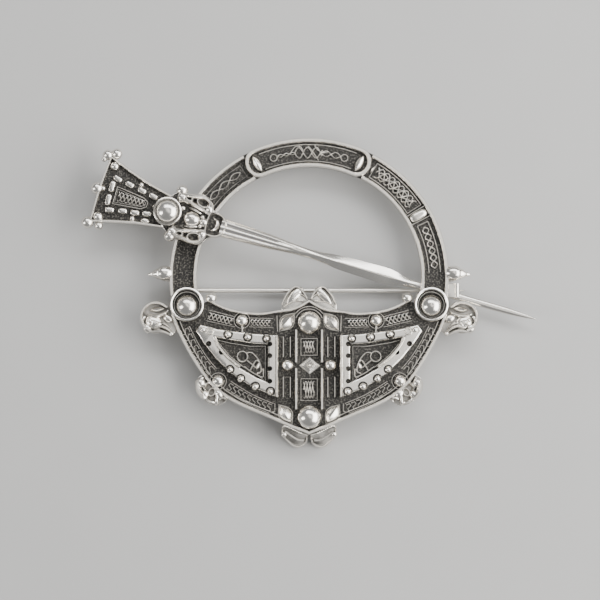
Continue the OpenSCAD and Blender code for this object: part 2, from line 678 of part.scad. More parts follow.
module brooch_body() {
    color(silver) translate(shift) body_solid();
}
module long_pin() {
    color(silver) translate(shift) {
        rotate([0, 0, -pin_tilt]) translate([0, pin_offset, 0]) {
            pin_head_plate();
            pin_neck();
            shaft();
        }
        strap();
    }
}
module back_stem() {
    color(silver) translate(shift) translate([0, -stem_drop, stem_z]) difference() {
        union() {
            translate([-hinge_x, 0, 0]) rotate([90, 0, 0])
                cylinder(r = eye_r, h = eye_w, center = true);
            translate([-hinge_x, 0, 0]) rotate([0, 90, 0])
                cylinder(d = stem_d, h = hinge_x + taper_from);
            translate([taper_from, 0, 0]) rotate([0, 90, 0])
                cylinder(d1 = stem_d, d2 = point_d, h = stem_tip_x - taper_from);
        }
        translate([-hinge_x, 0, 0]) rotate([90, 0, 0])
            cylinder(d = rivet_d + eye_play, h = eye_w + 2, center = true);
    }
}
module stem_rivet() {
    reach = eye_w + 2 * ear_gap + 2 * ear_t;
    color(silver) translate(shift) translate([-hinge_x, -stem_drop, stem_z]) rotate([90, 0, 0]) {
        cylinder(d = rivet_d, h = reach + rivet_head_t, center = true);
        for (side = [-1, 1]) translate([0, 0, side * (reach + rivet_head_t + bore_play) / 2])
            cylinder(r = rivet_head_r, h = rivet_head_t, center = true);
    }
}

brooch_body();
long_pin();
back_stem();
stem_rivet();
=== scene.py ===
# Looks of the silver brooch: hoop, crescent plate, long pin and the fittings on the back.
# Shapes are laid out in millimetres from the middle of the hoop, then settled into the frame.
import bpy
import json
import math
from mathutils import Matrix, Vector


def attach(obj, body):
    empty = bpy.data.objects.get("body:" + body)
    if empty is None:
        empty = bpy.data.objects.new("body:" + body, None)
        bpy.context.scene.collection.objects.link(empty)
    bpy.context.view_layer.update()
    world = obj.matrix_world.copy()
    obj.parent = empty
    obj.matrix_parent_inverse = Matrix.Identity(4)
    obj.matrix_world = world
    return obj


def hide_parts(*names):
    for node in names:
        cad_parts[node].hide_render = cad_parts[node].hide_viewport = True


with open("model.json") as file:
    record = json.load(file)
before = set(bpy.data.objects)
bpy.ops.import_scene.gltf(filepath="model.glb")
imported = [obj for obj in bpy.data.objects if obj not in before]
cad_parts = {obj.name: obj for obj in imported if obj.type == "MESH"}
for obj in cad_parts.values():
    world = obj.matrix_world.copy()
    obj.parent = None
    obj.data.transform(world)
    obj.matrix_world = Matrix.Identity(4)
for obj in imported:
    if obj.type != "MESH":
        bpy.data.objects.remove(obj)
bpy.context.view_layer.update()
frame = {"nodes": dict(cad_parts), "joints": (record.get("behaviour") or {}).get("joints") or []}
print("frame loaded")

slideJoint = [j for j in frame["joints"] if j["name"] == "pin_slide"][0]
hoopX, hoopY = slideJoint["pos_m"][0], slideJoint["pos_m"][1]
toFrame = Matrix.Translation((hoopX, hoopY, 0)) @ Matrix.Scale(0.001, 4)

# Heights above the surface that the brooch lies on
heights = {"back": 2.8, "floor": 3.75, "rim": 4.5, "frame": 4.85}
backStep = 0.03  # keeps backs that overlap from lying in one plane


# Small geometry helpers

def polar(radius, degrees):
    return radius * math.cos(math.radians(degrees)), radius * math.sin(math.radians(degrees))


def mirrored(points):
    return [(-p[0], p[1]) for p in reversed(points)]


# Catmull-Rom line through the points, closed or open
def smoothLine(points, steps=4, closed=False):
    n = len(points)
    line = []
    for i in range(n if closed else n - 1):
        if closed:
            a, b, c, d = (points[(i + k) % n] for k in (-1, 0, 1, 2))
        else:
            a, b, c, d = (points[min(max(i + k, 0), n - 1)] for k in (-1, 0, 1, 2))
        for k in range(steps):
            t = k / steps
            line.append(tuple(
                0.5 * (2 * q + (r - p) * t + (2 * p - 5 * q + 4 * r - s) * t * t
                       + (3 * q - p - 3 * r + s) * t ** 3)
                for p, q, r, s in zip(a, b, c, d)))
    if not closed:
        line.append(tuple(points[-1]))
    return line


# The same line moved sideways, to its left where the distance is positive
def sideStep(points, distance, closed=False):
    n = len(points)
    moved = []
    for i, p in enumerate(points):
        before = points[(i - 1) % n] if closed else points[max(i - 1, 0)]
        after = points[(i + 1) % n] if closed else points[min(i + 1, n - 1)]
        dx, dy = after[0] - before[0], after[1] - before[1]
        length = math.hypot(dx, dy) or 1
        moved.append((p[0] - dy / length * distance, p[1] + dx / length * distance))
    return moved


def arc(x, y, radius, start, end, steps=24):
    spots = []
    for i in range(steps + 1):
        px, py = polar(radius, start + (end - start) * i / steps)
        spots.append((x + px, y + py))
    return spots


# Closed line, so its first point isn't repeated at its end
def circle(x, y, radius, steps):
    return arc(x, y, radius, 0, 360, steps)[:-1]


# Making and joining

def pick(*pieces):
    bpy.ops.object.select_all(action="DESELECT")
    for piece in pieces:
        piece.select_set(True)
    bpy.context.view_layer.objects.active = pieces[-1]


def addObject(name, data):
    piece = bpy.data.objects.new(name, data)
    bpy.context.scene.collection.objects.link(piece)
    return piece


# One of the tool's own simple shapes, with its place and size settled in its points
def primitive(add, **settings):
    bpy.ops.object.select_all(action="DESELECT")
    add(**settings)
    bpy.ops.object.transform_apply(location=True, rotation=True, scale=True)
    return bpy.context.view_layer.objects.active


# Closes the seams of a mesh and turns all its faces outwards
def closeUp(piece, distance=0.0005):
    pick(piece)
    bpy.ops.object.mode_set(mode="EDIT")
    bpy.ops.mesh.select_all(action="SELECT")
    bpy.ops.mesh.remove_doubles(threshold=distance)
    bpy.ops.mesh.normals_make_consistent(inside=False)
    bpy.ops.object.mode_set(mode="OBJECT")
    return piece


def liftLayer(piece):
    return piece.data.attributes.get("lift") or piece.data.attributes.new("lift", "FLOAT", "POINT")


# How far each point stands between a foot and a crest: the dark silver stays near the foot,
# and what lies well below the foot is an outer side, which is polished
def markLift(piece, foot, crest, least=0.0):
    layer = liftLayer(piece)
    under = foot - 0.3 * (crest - foot) - 0.08
    for i, point in enumerate(piece.data.vertices):
        share = (point.co.z - foot) / (crest - foot)
        layer.data[i].value = 1.0 if point.co.z < under else min(max(share, least), 1.0)
    return piece


# Plate whose upper face is a dark floor and whose sides and back stay bright
def darkTop(piece, top, shade=0.0):
    return markLift(piece, top - 0.02, top - 0.3, shade)


# Piece that polishing reaches all over
def allBright(piece):
    return markLift(piece, -2, -1)


sectionCurves = {}


# Cross-section of a wire or rim: 1 is an ellipse, smaller is squarer
def section(width, height, square=1.0):
    key = (width, height, square)
    if key not in sectionCurves:
        curve = bpy.data.curves.new("section", "CURVE")
        curve.dimensions = "2D"
        spline = curve.splines.new("POLY")
        corners = 12
        spline.points.add(corners - 1)
        for i in range(corners):
            c, s = polar(1, 360 * (i + 0.5) / corners)
            x = math.copysign(abs(c) ** square, c) * width / 2
            y = math.copysign(abs(s) ** square, s) * height / 2
            spline.points[i].co = (x, y, 0, 1)
        spline.use_cyclic_u = True
        sectionCurves[key] = addObject("section", curve)
    return sectionCurves[key]


# A wire, rim or strand laid along a line at a height; points may carry their own height
def wire(points, width, height, z=0.0, square=1.0, closed=False, swell=None, foot=None, crest=None):
    curve = bpy.data.curves.new("wire", "CURVE")
    curve.dimensions = "3D"
    curve.twist_mode = "Z_UP"
    curve.bevel_mode = "OBJECT"
    curve.bevel_object = section(width, height, square)
    curve.use_fill_caps = not closed
    spline = curve.splines.new("POLY")
    spline.points.add(len(points) - 1)
    for i, p in enumerate(points):
        spline.points[i].co = (p[0], p[1], z + (p[2] if len(p) > 2 else 0.0), 1)
        spline.points[i].radius = swell(i / (len(points) - 1)) if swell else 1.0
    spline.use_cyclic_u = closed
    piece = addObject("wire", curve)
    pick(piece)
    bpy.ops.object.convert(target="MESH")
    piece = closeUp(bpy.context.view_layer.objects.active)
    return markLift(piece, heights["floor"] if foot is None else foot,
                    z + height / 2 if crest is None else crest)


# Fine raised line on a dark floor, bright along its crest
def strand(line, width, height, rise=0.22, closed=False):
    floor = heights["floor"]
    return wire(line, width, height, floor, closed=closed, crest=floor + rise)


# Squarish rim, half sunk in the face that it stands on
def rimWire(line, width, level="rim", extra=0.0, closed=False):
    floor = heights["floor"]
    tall = 2 * (heights[level] - floor) + extra
    return wire(line, width, tall, floor, 0.5, closed, foot=floor - 0.2)


# Rule for a wire that is thickest in its middle
def swelling(least, more, start=0.0):
    return lambda t: least + more * math.sin(math.pi * (start + (1 - 2 * start) * t))


# Wires laid along smooth lines, from rows of line, width and height
def smoothWires(rows, z, foot, crest, steps, swell):
    return [wire(smoothLine(line, steps), width, height, z, foot=foot, crest=crest, swell=swell)
            for line, width, height in rows]


# Sheet cut to outlines, the later ones being holes, with rounded edges
def sheetMetal(outlines, low, high, edge):
    curve = bpy.data.curves.new("sheet", "CURVE")
    curve.dimensions = "2D"
    curve.fill_mode = "BOTH"
    curve.extrude = (high - low) / 2 - edge
    curve.bevel_depth = edge
    curve.bevel_resolution = 2
    curve.offset = -edge
    for outline in outlines:
        spline = curve.splines.new("POLY")
        spline.points.add(len(outline) - 1)
        for i, p in enumerate(outline):
            spline.points[i].co = (p[0], p[1], 0, 1)
        spline.use_cyclic_u = True
    piece = addObject("sheet", curve)
    piece.location.z = (low + high) / 2
    pick(piece)
    bpy.ops.object.convert(target="MESH")
    piece = bpy.context.view_layer.objects.active
    bpy.ops.object.transform_apply(location=True, rotation=True, scale=True)
    closeUp(piece)
    return markLift(piece, low - 1, high - 1)


# Profile of [radius, height] turned about an upright line at x, y
def turned(profile, x=0.0, y=0.0, start=0.0, end=360.0, steps=48, looped=False):
    c, s = polar(1, start)
    mesh = bpy.data.meshes.new("turned")
    edges = [(i, i + 1) for i in range(len(profile) - 1)]
    if looped:
        edges.append((len(profile) - 1, 0))
    mesh.from_pydata([(r * c, r * s, z) for r, z in profile], edges, [])
    piece = addObject("turned", mesh)
    pick(piece)
    bpy.ops.object.mode_set(mode="EDIT")
    bpy.ops.mesh.select_all(action="SELECT")
    bpy.ops.mesh.spin(steps=steps, angle=math.radians(start - end), center=(0, 0, 0), axis=(0, 0, 1))
    bpy.ops.mesh.select_all(action="DESELECT")
    bpy.ops.object.mode_set(mode="OBJECT")
    if looped and end - start < 360:
        for at in (start, end):
            fillEnd(piece, *polar(1, at))
    mesh.transform(Matrix.Translation((x, y, 0)))
    return closeUp(piece)


# Fills the open section that lies in the direction c, s from the upright line
def fillEnd(piece, c, s):
    for point in piece.data.vertices:
        point.select = abs(point.co.x * s - point.co.y * c) < 0.001 and point.co.x * c + point.co.y * s > 0
    pick(piece)
    bpy.ops.object.mode_set(mode="EDIT")
    bpy.ops.mesh.select_mode(type="VERT")
    bpy.ops.mesh.edge_face_add()
    bpy.ops.mesh.select_all(action="DESELECT")
    bpy.ops.object.mode_set(mode="OBJECT")


patterns = {}


# Round ball that the moulded shapes are copied from
def ballPattern(rings, around):
    key = (rings, around)
    if key not in patterns:
        add = bpy.ops.mesh.primitive_uv_sphere_add
        patterns[key] = primitive(add, segments=around, ring_count=rings, radius=1)
    return patterns[key]


# Copy of the ball with each point moved by a rule, turned, and put in its place
def moulded(rule, x, y, z, turn=0.0, foot=None, crest=None, rings=12, around=24):
    piece = addObject("moulded", ballPattern(rings, around).data.copy())
    for point in piece.data.vertices:
        point.co = rule(*point.co)
    piece.data.transform(Matrix.Translation((x, y, z)) @ Matrix.Rotation(math.radians(turn), 4, "Z"))
    return markLift(piece, z if foot is None else foot, z + 0.25 if crest is None else crest)


def dome(x, y, radius, rise, z=None, stretch=1.0, turn=0.0, sunk=0.25, rings=12, around=28):
    z = heights["floor"] if z is None else z

    def rule(a, b, c):
        return a * radius * stretch, b * radius, c * rise if c > 0 else c * sunk
    return moulded(rule, x, y, z, turn, z, z + 0.22 * rise, rings, around)


def ball(x, y, z, radius, foot=None):
    def rule(a, b, c):
        return a * radius, b * radius, c * radius
    return moulded(rule, x, y, z, 0, z - radius if foot is None else foot,
                   z - 0.35 * radius if foot is None else foot + 0.3)


# Pointed lens with a crease along its length
def lens(x, y, halfWide, halfLong, rise, turn, z=None, crease=0.45):
    z = heights["floor"] if z is None else z

    def rule(a, b, c):
        slim = math.sqrt(max(1 - b * b, 0))
        across = abs(a) / slim if slim > 0.001 else 0
        height = (1 - crease) * math.sqrt(max(1 - across * across, 0)) + crease * (1 - across)
        return (a * slim * halfWide, b * halfLong,
                rise * height * slim ** 0.7 if c > 0 else 0.2 * c)
    return moulded(rule, x, y, z, turn, z, z + 0.15, 20, 32)


def turnedTo(points, x, y, turn):
    c, s = polar(1, turn)
    return [(x + p[0] * c - p[1] * s, y + p[0] * s + p[1] * c) for p in points]


# The strands of a plait along a line: the place rule turns (along, across) into x, y
def plait(place, waves, reach, strands, width, rise):
    pieces = []
    steps = max(int(waves * 9), 12)
    for k in range(strands):
        points = []
        for i in range(steps + 1):
            t = i / steps
            phase = math.pi * waves * t + 2 * math.pi * k / strands
            weave = math.cos(phase) if strands == 2 else math.cos(2 * phase)
            px, py = place(t, reach * math.sin(phase))
            points.append((px, py, 0.09 * weave))
        pieces.append(wire(points, width, rise * 2, heights["floor"] + 0.02,
                           crest=heights["floor"] + rise))
    return pieces


def onLine(a, b):
    dx, dy = b[0] - a[0], b[1] - a[1]
    length = math.hypot(dx, dy)
    return lambda t, across: (a[0] + dx * t - dy / length * across,
                              a[1] + dy * t + dx / length * across)


# A place rule along a bent line
def onPath(points):
    lengths = [0.0]
    for a, b in zip(points, points[1:]):
        lengths.append(lengths[-1] + math.hypot(b[0] - a[0], b[1] - a[1]))

    def place(t, across):
        goal = min(max(t, 0), 1) * lengths[-1]
        i = 0
        while i < len(points) - 2 and lengths[i + 1] < goal:
            i += 1
        return onLine(points[i], points[i + 1])(
            (goal - lengths[i]) / (lengths[i + 1] - lengths[i]), across)
    return place


def joined(name, pieces):
    pick(*pieces)
    if len(pieces) > 1:
        bpy.ops.object.join()
    piece = bpy.context.view_layer.objects.active
    piece.name = piece.data.name = name
    return piece


def mirrorCopy(piece):
    copy = addObject(piece.name, piece.data.copy())
    copy.data.transform(Matrix.Scale(-1, 4, (1, 0, 0)))
    pick(copy)
    bpy.ops.object.mode_set(mode="EDIT")
    bpy.ops.mesh.select_all(action="SELECT")
    bpy.ops.mesh.flip_normals()
    bpy.ops.object.mode_set(mode="OBJECT")
    return copy


def bothHalves(name, pieces):
    half = joined(name, pieces)
    return joined(name, [half, mirrorCopy(half)])


# Takes a finished piece into the frame, gives it its silver and lets it ride on its body
def settle(piece, body, metals, smoothAngle=38):
    piece.data.transform(toFrame)
    piece.data.materials.clear()
    for metal in metals:
        piece.data.materials.append(metal)
    pick(piece)
    bpy.ops.object.shade_smooth_by_angle(angle=math.radians(smoothAngle))
    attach(piece, body)
    return piece


print("tools ready")

# Silver

# Ageing of the silver, shared by all of its finishes
ageing = {"bright": (0.86, 0.83, 0.78, 1), "tarnish": (0.62, 0.58, 0.51, 1),
          "dark": (0.016, 0.015, 0.014, 1),
          # Noise: scale and detail
          "grain": (3200, 3), "cloud": (260, 4),
          # cornerReach, cornerDark and cornerBright set the corner darkening, which is oxide plus painted
          # contact shade
          "looseEdge": 0.35, "cornerReach": 0.0007, "cornerDark": 0.15, "cornerBright": 0.6,
          "warmth": 0.55, "speckFrom": 0.45, "speckTo": 0.75, "mottle": 0.22, "darkRoughness": 0.38,
          "cloudRoughness": 0.14, "metalShare": 0.7, "metalLeast": 0.3, "bumpDepth": 0.00012}


# Inputs of the silver's node group: name, kind, first value, and its outputs: name, kind
silverInputs = (("Bright", "Color", ageing["bright"]), ("Tarnish", "Color", ageing["tarnish"]),
                ("Dark", "Color", ageing["dark"]), ("Lift low", "Float", 0.12), ("Lift high", "Float", 0.4),
                ("Recess darkening", "Float", 1.0), ("Polish", "Float", 0.16), ("Bump", "Float", 0.15))
silverOutputs = (("Color", "Color"), ("Roughness", "Float"), ("Metallic", "Float"), ("Normal", "Vector"))


def agedSilverGroup():
    group = bpy.data.node_groups.new("agedSilver", "ShaderNodeTree")
    for name, kind, value in silverInputs:
        socket = group.interface.new_socket(name=name, in_out="INPUT", socket_type="NodeSocket" + kind)
        socket.default_value = value
    for name, kind in silverOutputs:
        group.interface.new_socket(name=name, in_out="OUTPUT", socket_type="NodeSocket" + kind)
    nodes, links = group.nodes, group.links
    inside = nodes.new("NodeGroupInput").outputs
    outside = nodes.new("NodeGroupOutput").inputs

    # Node whose inputs take either a number or a link
    def node(kind, inputs=(), **settings):
        made = nodes.new(kind)
        for key, value in settings.items():
            setattr(made, key, value)
        for key, value in inputs:
            if isinstance(value, (int, float)):
                made.inputs[key].default_value = value
            else:
                links.new(value, made.inputs[key])
        return made

    def maths(operation, a, b, clamp=False):
        return node("ShaderNodeMath", ((0, a), (1, b)), operation=operation, use_clamp=clamp).outputs[0]

    def ramp(value, low, high):
        ends = (("Value", value), ("From Min", low), ("From Max", high))
        return node("ShaderNodeMapRange", ends, interpolation_type="SMOOTHSTEP").outputs["Result"]

    def mixed(factor, a, b):
        ends = (("Factor", factor), ("A", a), ("B", b))
        return node("ShaderNodeMix", ends, data_type="RGBA").outputs["Result"]

    place = node("ShaderNodeTexCoord").outputs["Object"]

    def noise(scale, detail):
        ends = (("Scale", scale), ("Detail", detail), ("Vector", place))
        return node("ShaderNodeTexNoise", ends).outputs["Fac"]

    grain = noise(*ageing["grain"])
    cloud = noise(*ageing["cloud"])
    # Dark silver near the foot of each raised form
    lift = node("ShaderNodeAttribute", attribute_name="lift").outputs["Fac"]
    loose = maths("ADD", lift, maths("MULTIPLY", maths("SUBTRACT", cloud, 0.5), ageing["looseEdge"]))
    raised = ramp(loose, inside["Lift low"], inside["Lift high"])
    # Dark silver in corners: partly oxide that polishing doesn't reach, partly painted contact shade taken
    # from ambient occlusion
    corner = node("ShaderNodeAmbientOcclusion", (("Distance", ageing["cornerReach"]),), samples=8)
    reach = ramp(corner.outputs["AO"], ageing["cornerDark"], ageing["cornerBright"])
    oxideAndPaintedShade = maths("MULTIPLY", maths("SUBTRACT", 1.0, reach), inside["Recess darkening"])
    polished = maths("MULTIPLY", raised, maths("SUBTRACT", 1.0, oxideAndPaintedShade, True), True)
    speck = maths("MULTIPLY", ramp(grain, ageing["speckFrom"], ageing["speckTo"]), ageing["mottle"])
    darkTone = mixed(speck, inside["Dark"], inside["Tarnish"])
    brightTone = mixed(maths("MULTIPLY", cloud, ageing["warmth"]), inside["Bright"], inside["Tarnish"])
    links.new(mixed(polished, darkTone, brightTone), outside["Color"])
    matt = maths("MULTIPLY", maths("SUBTRACT", 1.0, polished), ageing["darkRoughness"])
    worn = maths("ADD", inside["Polish"], maths("MULTIPLY", cloud, ageing["cloudRoughness"]))
    links.new(maths("ADD", worn, matt, True), outside["Roughness"])
    metal = maths("ADD", maths("MULTIPLY", polished, ageing["metalShare"]), ageing["metalLeast"])
    links.new(metal, outside["Metallic"])
    height = maths("ADD", maths("MULTIPLY", grain, maths("SUBTRACT", 1.5, polished)), cloud)
    ends = (("Distance", ageing["bumpDepth"]), ("Strength", inside["Bump"]), ("Height", height))
    links.new(node("ShaderNodeBump", ends).outputs["Normal"], outside["Normal"])
    return group


agedSilver = agedSilverGroup()


def silver(name, specular=0.3, **values):
    material = bpy.data.materials.new(name)
    material.use_nodes = True
    tree = material.node_tree
    shader = tree.nodes["Principled BSDF"]
    shader.inputs["Specular IOR Level"].default_value = specular
    ageingNode = tree.nodes.new("ShaderNodeGroup")
    ageingNode.node_tree = agedSilver
    for key, value in values.items():
        ageingNode.inputs[key.replace("_", " ")].default_value = value
    for name, kind in silverOutputs:
        target = "Base Color" if name == "Color" else name
        tree.links.new(ageingNode.outputs[name], shader.inputs[target])
    return material


polishedSilver = silver("polishedSilver")
wornRelief = silver("wornRelief", Lift_low=0.1, Lift_high=0.42, Polish=0.2, Bump=0.25)
# Plain wire is bright all over and keeps a quarter of the corner oxide and painted contact shade
plainWire = silver("plainWire", Lift_low=-2.0, Lift_high=-1.0, Recess_darkening=0.25, Polish=0.26)
print("silver ready")

# Hoop

hoop = {"inner": 20.05, "outer": 25.0, "middle": 22.5, "start": -8.0, "end": 188.0, "steps": 140,
        "edge": 0.08, "shoulder": 0.3, "rimWidth": 0.7, "bands": ((-8.0, 62.4), (118.4, 188.0)),
        "cartouche": (66.8, 114.0), "outerInset": 0.22, "innerInset": 0.24, "roundEnd": 1.95,
        "cartoucheWidth": 0.74, "cartoucheRise": 0.16}


def hoopBand():
    inner, outer, edge, shoulder = (hoop[key] for key in ("inner", "outer", "edge", "shoulder"))
    low, high = heights["back"], heights["floor"]
    profile = [(inner + edge, low), (outer - edge, low), (outer, low + edge), (outer, high),
               (outer - shoulder, high), (inner + shoulder, high), (inner, high), (inner, low + edge)]
    band = turned(profile, start=hoop["start"], end=hoop["end"], steps=hoop["steps"], looped=True)
    return darkTop(band, high)


# Outline of the long cartouche: two arcs joined by round ends
def cartoucheLine():
    first, last = hoop["cartouche"]
    outer, inner = hoop["outer"] - hoop["outerInset"], hoop["inner"] + hoop["innerInset"]
    line = arc(0, 0, outer, first, last, 60)
    for at, way in ((last, 1), (first, -1)):
        x, y = polar((outer + inner) / 2, at)
        outX, outY = polar(1, at)
        for i in range(1, 14):
            across, along = polar(1, 180 * i / 14)
            across *= way * (outer - inner) / 2
            along *= way * hoop["roundEnd"]
            line.append((x + across * outX - along * outY, y + across * outY + along * outX))
        if way > 0:
            line += arc(0, 0, inner, last, first, 60)
    return line


def hoopRims():
    width = hoop["rimWidth"]
    pieces = [rimWire(arc(0, 0, radius, start, end, 70), width)
              for start, end in hoop["bands"]
              for radius in (hoop["outer"] - width / 2, hoop["inner"] + width / 2)]
    # The cartouche stands a little proud of the band
    pieces.append(rimWire(cartoucheLine(), hoop["cartoucheWidth"], extra=hoop["cartoucheRise"], closed=True))
    return pieces


# Raised work of the hoop's panels, by degrees round the hoop
hoopKnots = {
    "plaitRadius": 22.55,
    # Start, end, waves, reach, strands, width, rise
    "plaits": ((104.6, 96.2, 3, 0.22, 2, 0.24, 0.28), (96.6, 84.0, 3.2, 0.95, 2, 0.24, 0.28),
               (84.4, 75.4, 2, 0.5, 2, 0.24, 0.28), (148, 123, 4, 0.5, 2, 0.22, 0.26),
               (57.5, 35.2, 5.2, 1.0, 3, 0.26, 0.3), (56.5, 36.0, 3.4, 0.5, 2, 0.22, 0.26),
               (23.6, 4.2, 6, 0.52, 2, 0.27, 0.3)),
    # Rings of the cartouche: at, radius
    "rings": ((106.4, 0.62), (73.6, 0.62)),
    # Loose strands of the cartouche: at, across
    "strands": (((98.4, 0.2), (96.0, 1.25), (93.6, 1.1), (92.8, 0.4)),
                ((90.4, 1.2), (88.6, 0.4), (86.2, -0.9), (85.4, -1.3)),
                ((87.6, 1.35), (86.0, 0.6), (83.8, 0.2), (81.6, 0.3))),
    # Lines round the hoop: radius, start, end, steps, width, height, rise
    "lines": ((24.02, 69, 112, 50, 0.16, 0.3, 0.3), (21.03, 69, 112, 50, 0.16, 0.3, 0.3),
              (21.8, 163, 180, 24, 0.14, 0.22, 1.1), (22.5, 163, 180, 24, 0.14, 0.22, 1.1),
              (23.2, 163, 180, 24, 0.14, 0.22, 1.1), (21.48, 25.4, 2.4, 34, 0.22, 0.5, 0.22),
              (23.52, 25.4, 2.4, 34, 0.22, 0.5, 0.22)),
    # Frames of panels: reach, start, end, width, height, rise
    "frames": ((1.15, 149, 121.5, 0.16, 0.34, 0.75), (1.45, 59.2, 33.2, 0.2, 0.5, 0.22)),
    # Bars across the hoop: at, reach, width
    "bars": ((25.4, 1.0, 0.22), (27.2, 1.8, 0.2), (32.0, 1.8, 0.2)),
    # Pointed beads: radius, at, half width, half length, rise, lean, crease
    "beads": ((22.6, 59.6, 0.24, 0.75, 0.4, -8, 0.45), (22.45, 66.3, 0.72, 1.72, 0.85, -7, 0.2),
              (22.45, 114.4, 0.72, 1.72, 0.85, 7, 0.2)),
    "crossBead": {"radius": 22.55, "at": 29.6, "halfWide": 0.8, "halfLong": 1.7, "rise": 0.8}}


def onHoop(start, end):
    radius = hoopKnots["plaitRadius"]
    return lambda t, across: polar(radius + across, start + (end - start) * t)


# Barrel-shaped bead with blunt ends
def crossBead(a, b, c):
    bead = hoopKnots["crossBead"]
    x = math.copysign(abs(a) ** 0.7, a) * bead["halfWide"]
    y = math.copysign(abs(b) ** 0.6, b) * bead["halfLong"]
    return x, y, bead["rise"] * c ** 0.8 if c > 0 else 0.2 * c


def hoopRelief():
    floor, middle = heights["floor"], hoop["middle"]
    pieces = []
    for at, radius in hoopKnots["rings"]:
        pieces.append(strand(circle(*polar(middle, at), radius, 20), 0.24, 0.56, 0.25, closed=True))
    for start, end, *plaiting in hoopKnots["plaits"]:
        pieces += plait(onHoop(start, end), *plaiting)
    for spots in hoopKnots["strands"]:
        line = [polar(middle + across, at) for at, across in spots]
        pieces.append(strand(smoothLine(line, 5), 0.22, 0.52, 0.24))
    for radius, start, end, steps, *wiring in hoopKnots["lines"]:
        pieces.append(strand(arc(0, 0, radius, start, end, steps), *wiring))
    for reach, start, end, *wiring in hoopKnots["frames"]:
        line = arc(0, 0, middle + reach, start, end, 30) + arc(0, 0, middle - reach, end, start, 30)
        pieces.append(strand(line, *wiring, closed=True))
    for at, reach, width in hoopKnots["bars"]:
        pieces.append(strand([polar(middle - reach, at), polar(middle + reach, at)], width, 0.5))
    for radius, at, halfWide, halfLong, rise, lean, crease in hoopKnots["beads"]:
        pieces.append(lens(*polar(radius, at), halfWide, halfLong, rise, at - 90 + lean, crease=crease))
    x, y = polar(hoopKnots["crossBead"]["radius"], hoopKnots["crossBead"]["at"])
    pieces.append(moulded(crossBead, x, y, floor, hoopKnots["crossBead"]["at"] - 90, floor, floor + 0.2))
    return pieces


hoopBandPiece = joined("hoop_band", [hoopBand()])
hoopRimPiece = joined("hoop_rims", hoopRims())
hoopReliefPiece = joined("hoop_relief", hoopRelief())
print("hoop made")

# Crescent plate

crescent = {
    "top": [(0, -4.0), (2.6, -5.4), (5.4, -5.9), (9.2, -6.35), (13.9, -5.7), (17.6, -4.1)],
    "outer": [(24.7, -6.7), (23.5, -9.8), (21.3, -14.0), (18.9, -17.7), (16.9, -20.0),
              (14.4, -21.9), (11.2, -23.5), (7.6, -25.0), (3.8, -26.7), (0, -28.2)],
    "edge": 0.05, "rimWidth": 0.62, "topRimWidth": 0.5, "innerStep": 1.12, "innerTrim": (3, 7)}
topHalf = smoothLine(crescent["top"], 5)
outerHalf = smoothLine(crescent["outer"], 5)
topLine = mirrored(topHalf) + topHalf[1:]
outerLine = outerHalf + mirrored(outerHalf)[1:]


def crescentPlate():
    plate = sheetMetal([topLine + outerLine], heights["back"], heights["floor"], crescent["edge"])
    return darkTop(plate, heights["floor"])


def crescentRims():
    rim, topRim = crescent["rimWidth"], crescent["topRimWidth"]
    pieces = [rimWire(sideStep(outerLine, -rim / 2), rim), rimWire(sideStep(topLine, -topRim / 2), topRim)]
    start, end = crescent["innerTrim"]
    for half, first, last in ((outerHalf, start, end), (mirrored(outerHalf), end, start)):
        pieces.append(strand(sideStep(half, -crescent["innerStep"])[first:-last], 0.24, 0.56))
    return pieces


crescentPlatePiece = joined("crescent_plate", [crescentPlate()])
crescentRimPiece = joined("crescent_rims", crescentRims())

# Triangular frame to the right of the centre strip, and the trefoil in it
triangle = {
    "outside": [(5.45, -10.45), (9.6, -10.2), (12.7, -9.85), (16.4, -9.35), (19.4, -8.55),
                (20.2, -9.7), (18.9, -11.7), (16.7, -14.5), (13.9, -17.3), (10.2, -19.7),
                (5.45, -21.7)],
    "inside": [(7.35, -12.15), (10.4, -11.9), (14.4, -11.25), (17.0, -10.75), (16.2, -12.5),
               (14.6, -14.4), (12.3, -16.3), (9.4, -18.0), (7.35, -18.9)],
    # Beads: x, y, radius, rise, stretch, turn
    "beads": [(7.6, -11.1, 0.6708, 1.2, 0.94, 0), (10.95, -10.8, 0.7224, 1.2, 0.94, 0),
              (14.45, -10.3, 0.7396, 1.2, 0.94, 0), (14.1, -16.6, 0.688, 1.25, 0.96, 35),
              (12.2, -18.25, 0.7224, 1.25, 0.96, 35), (9.6, -19.65, 0.7568, 1.25, 0.96, 35),
              (6.9, -20.55, 0.7396, 1.25, 0.96, 35)],
    # Notches between the blocks: x, y, radius, depth
    "notches": [(7.0, -12.05, 0.46, 0.95), (7.0, -14.15, 0.46, 0.95), (7.0, -16.45, 0.46, 0.95),
                (7.0, -18.7, 0.46, 0.95), (15.6, -13.5, 0.5, 0.9), (17.9, -12.0, 0.5, 0.9)],
    "seatGap": 0.16, "seatDepth": 0.59, "beadDepth": 0.6, "edge": 0.3,
    "stripRidge": [(5.74, -10.55), (5.74, -21.5)],
    "slopeRidge": [(16.9, -10.85), (16.1, -12.45), (14.5, -14.35), (12.3, -16.15)],
    "ring": (11.9, -14.2, 0.92), "cornerRing": (17.7, -9.75, 0.56), "cornerBall": (18.9, -9.5, 0.5),
    "loops": ([(11.3, -13.6), (10.3, -13.5), (9.4, -14.3), (8.7, -15.6), (8.6, -16.9), (9.3, -17.2)],
              [(11.1, -14.9), (10.2, -15.6), (9.4, -16.2), (8.8, -15.5), (9.4, -14.9), (10.1, -15.9),
               (10.5, -16.7)],
              [(11.6, -16.0), (10.4, -16.9), (8.9, -17.7), (8.2, -17.8), (8.2, -16.4)])}


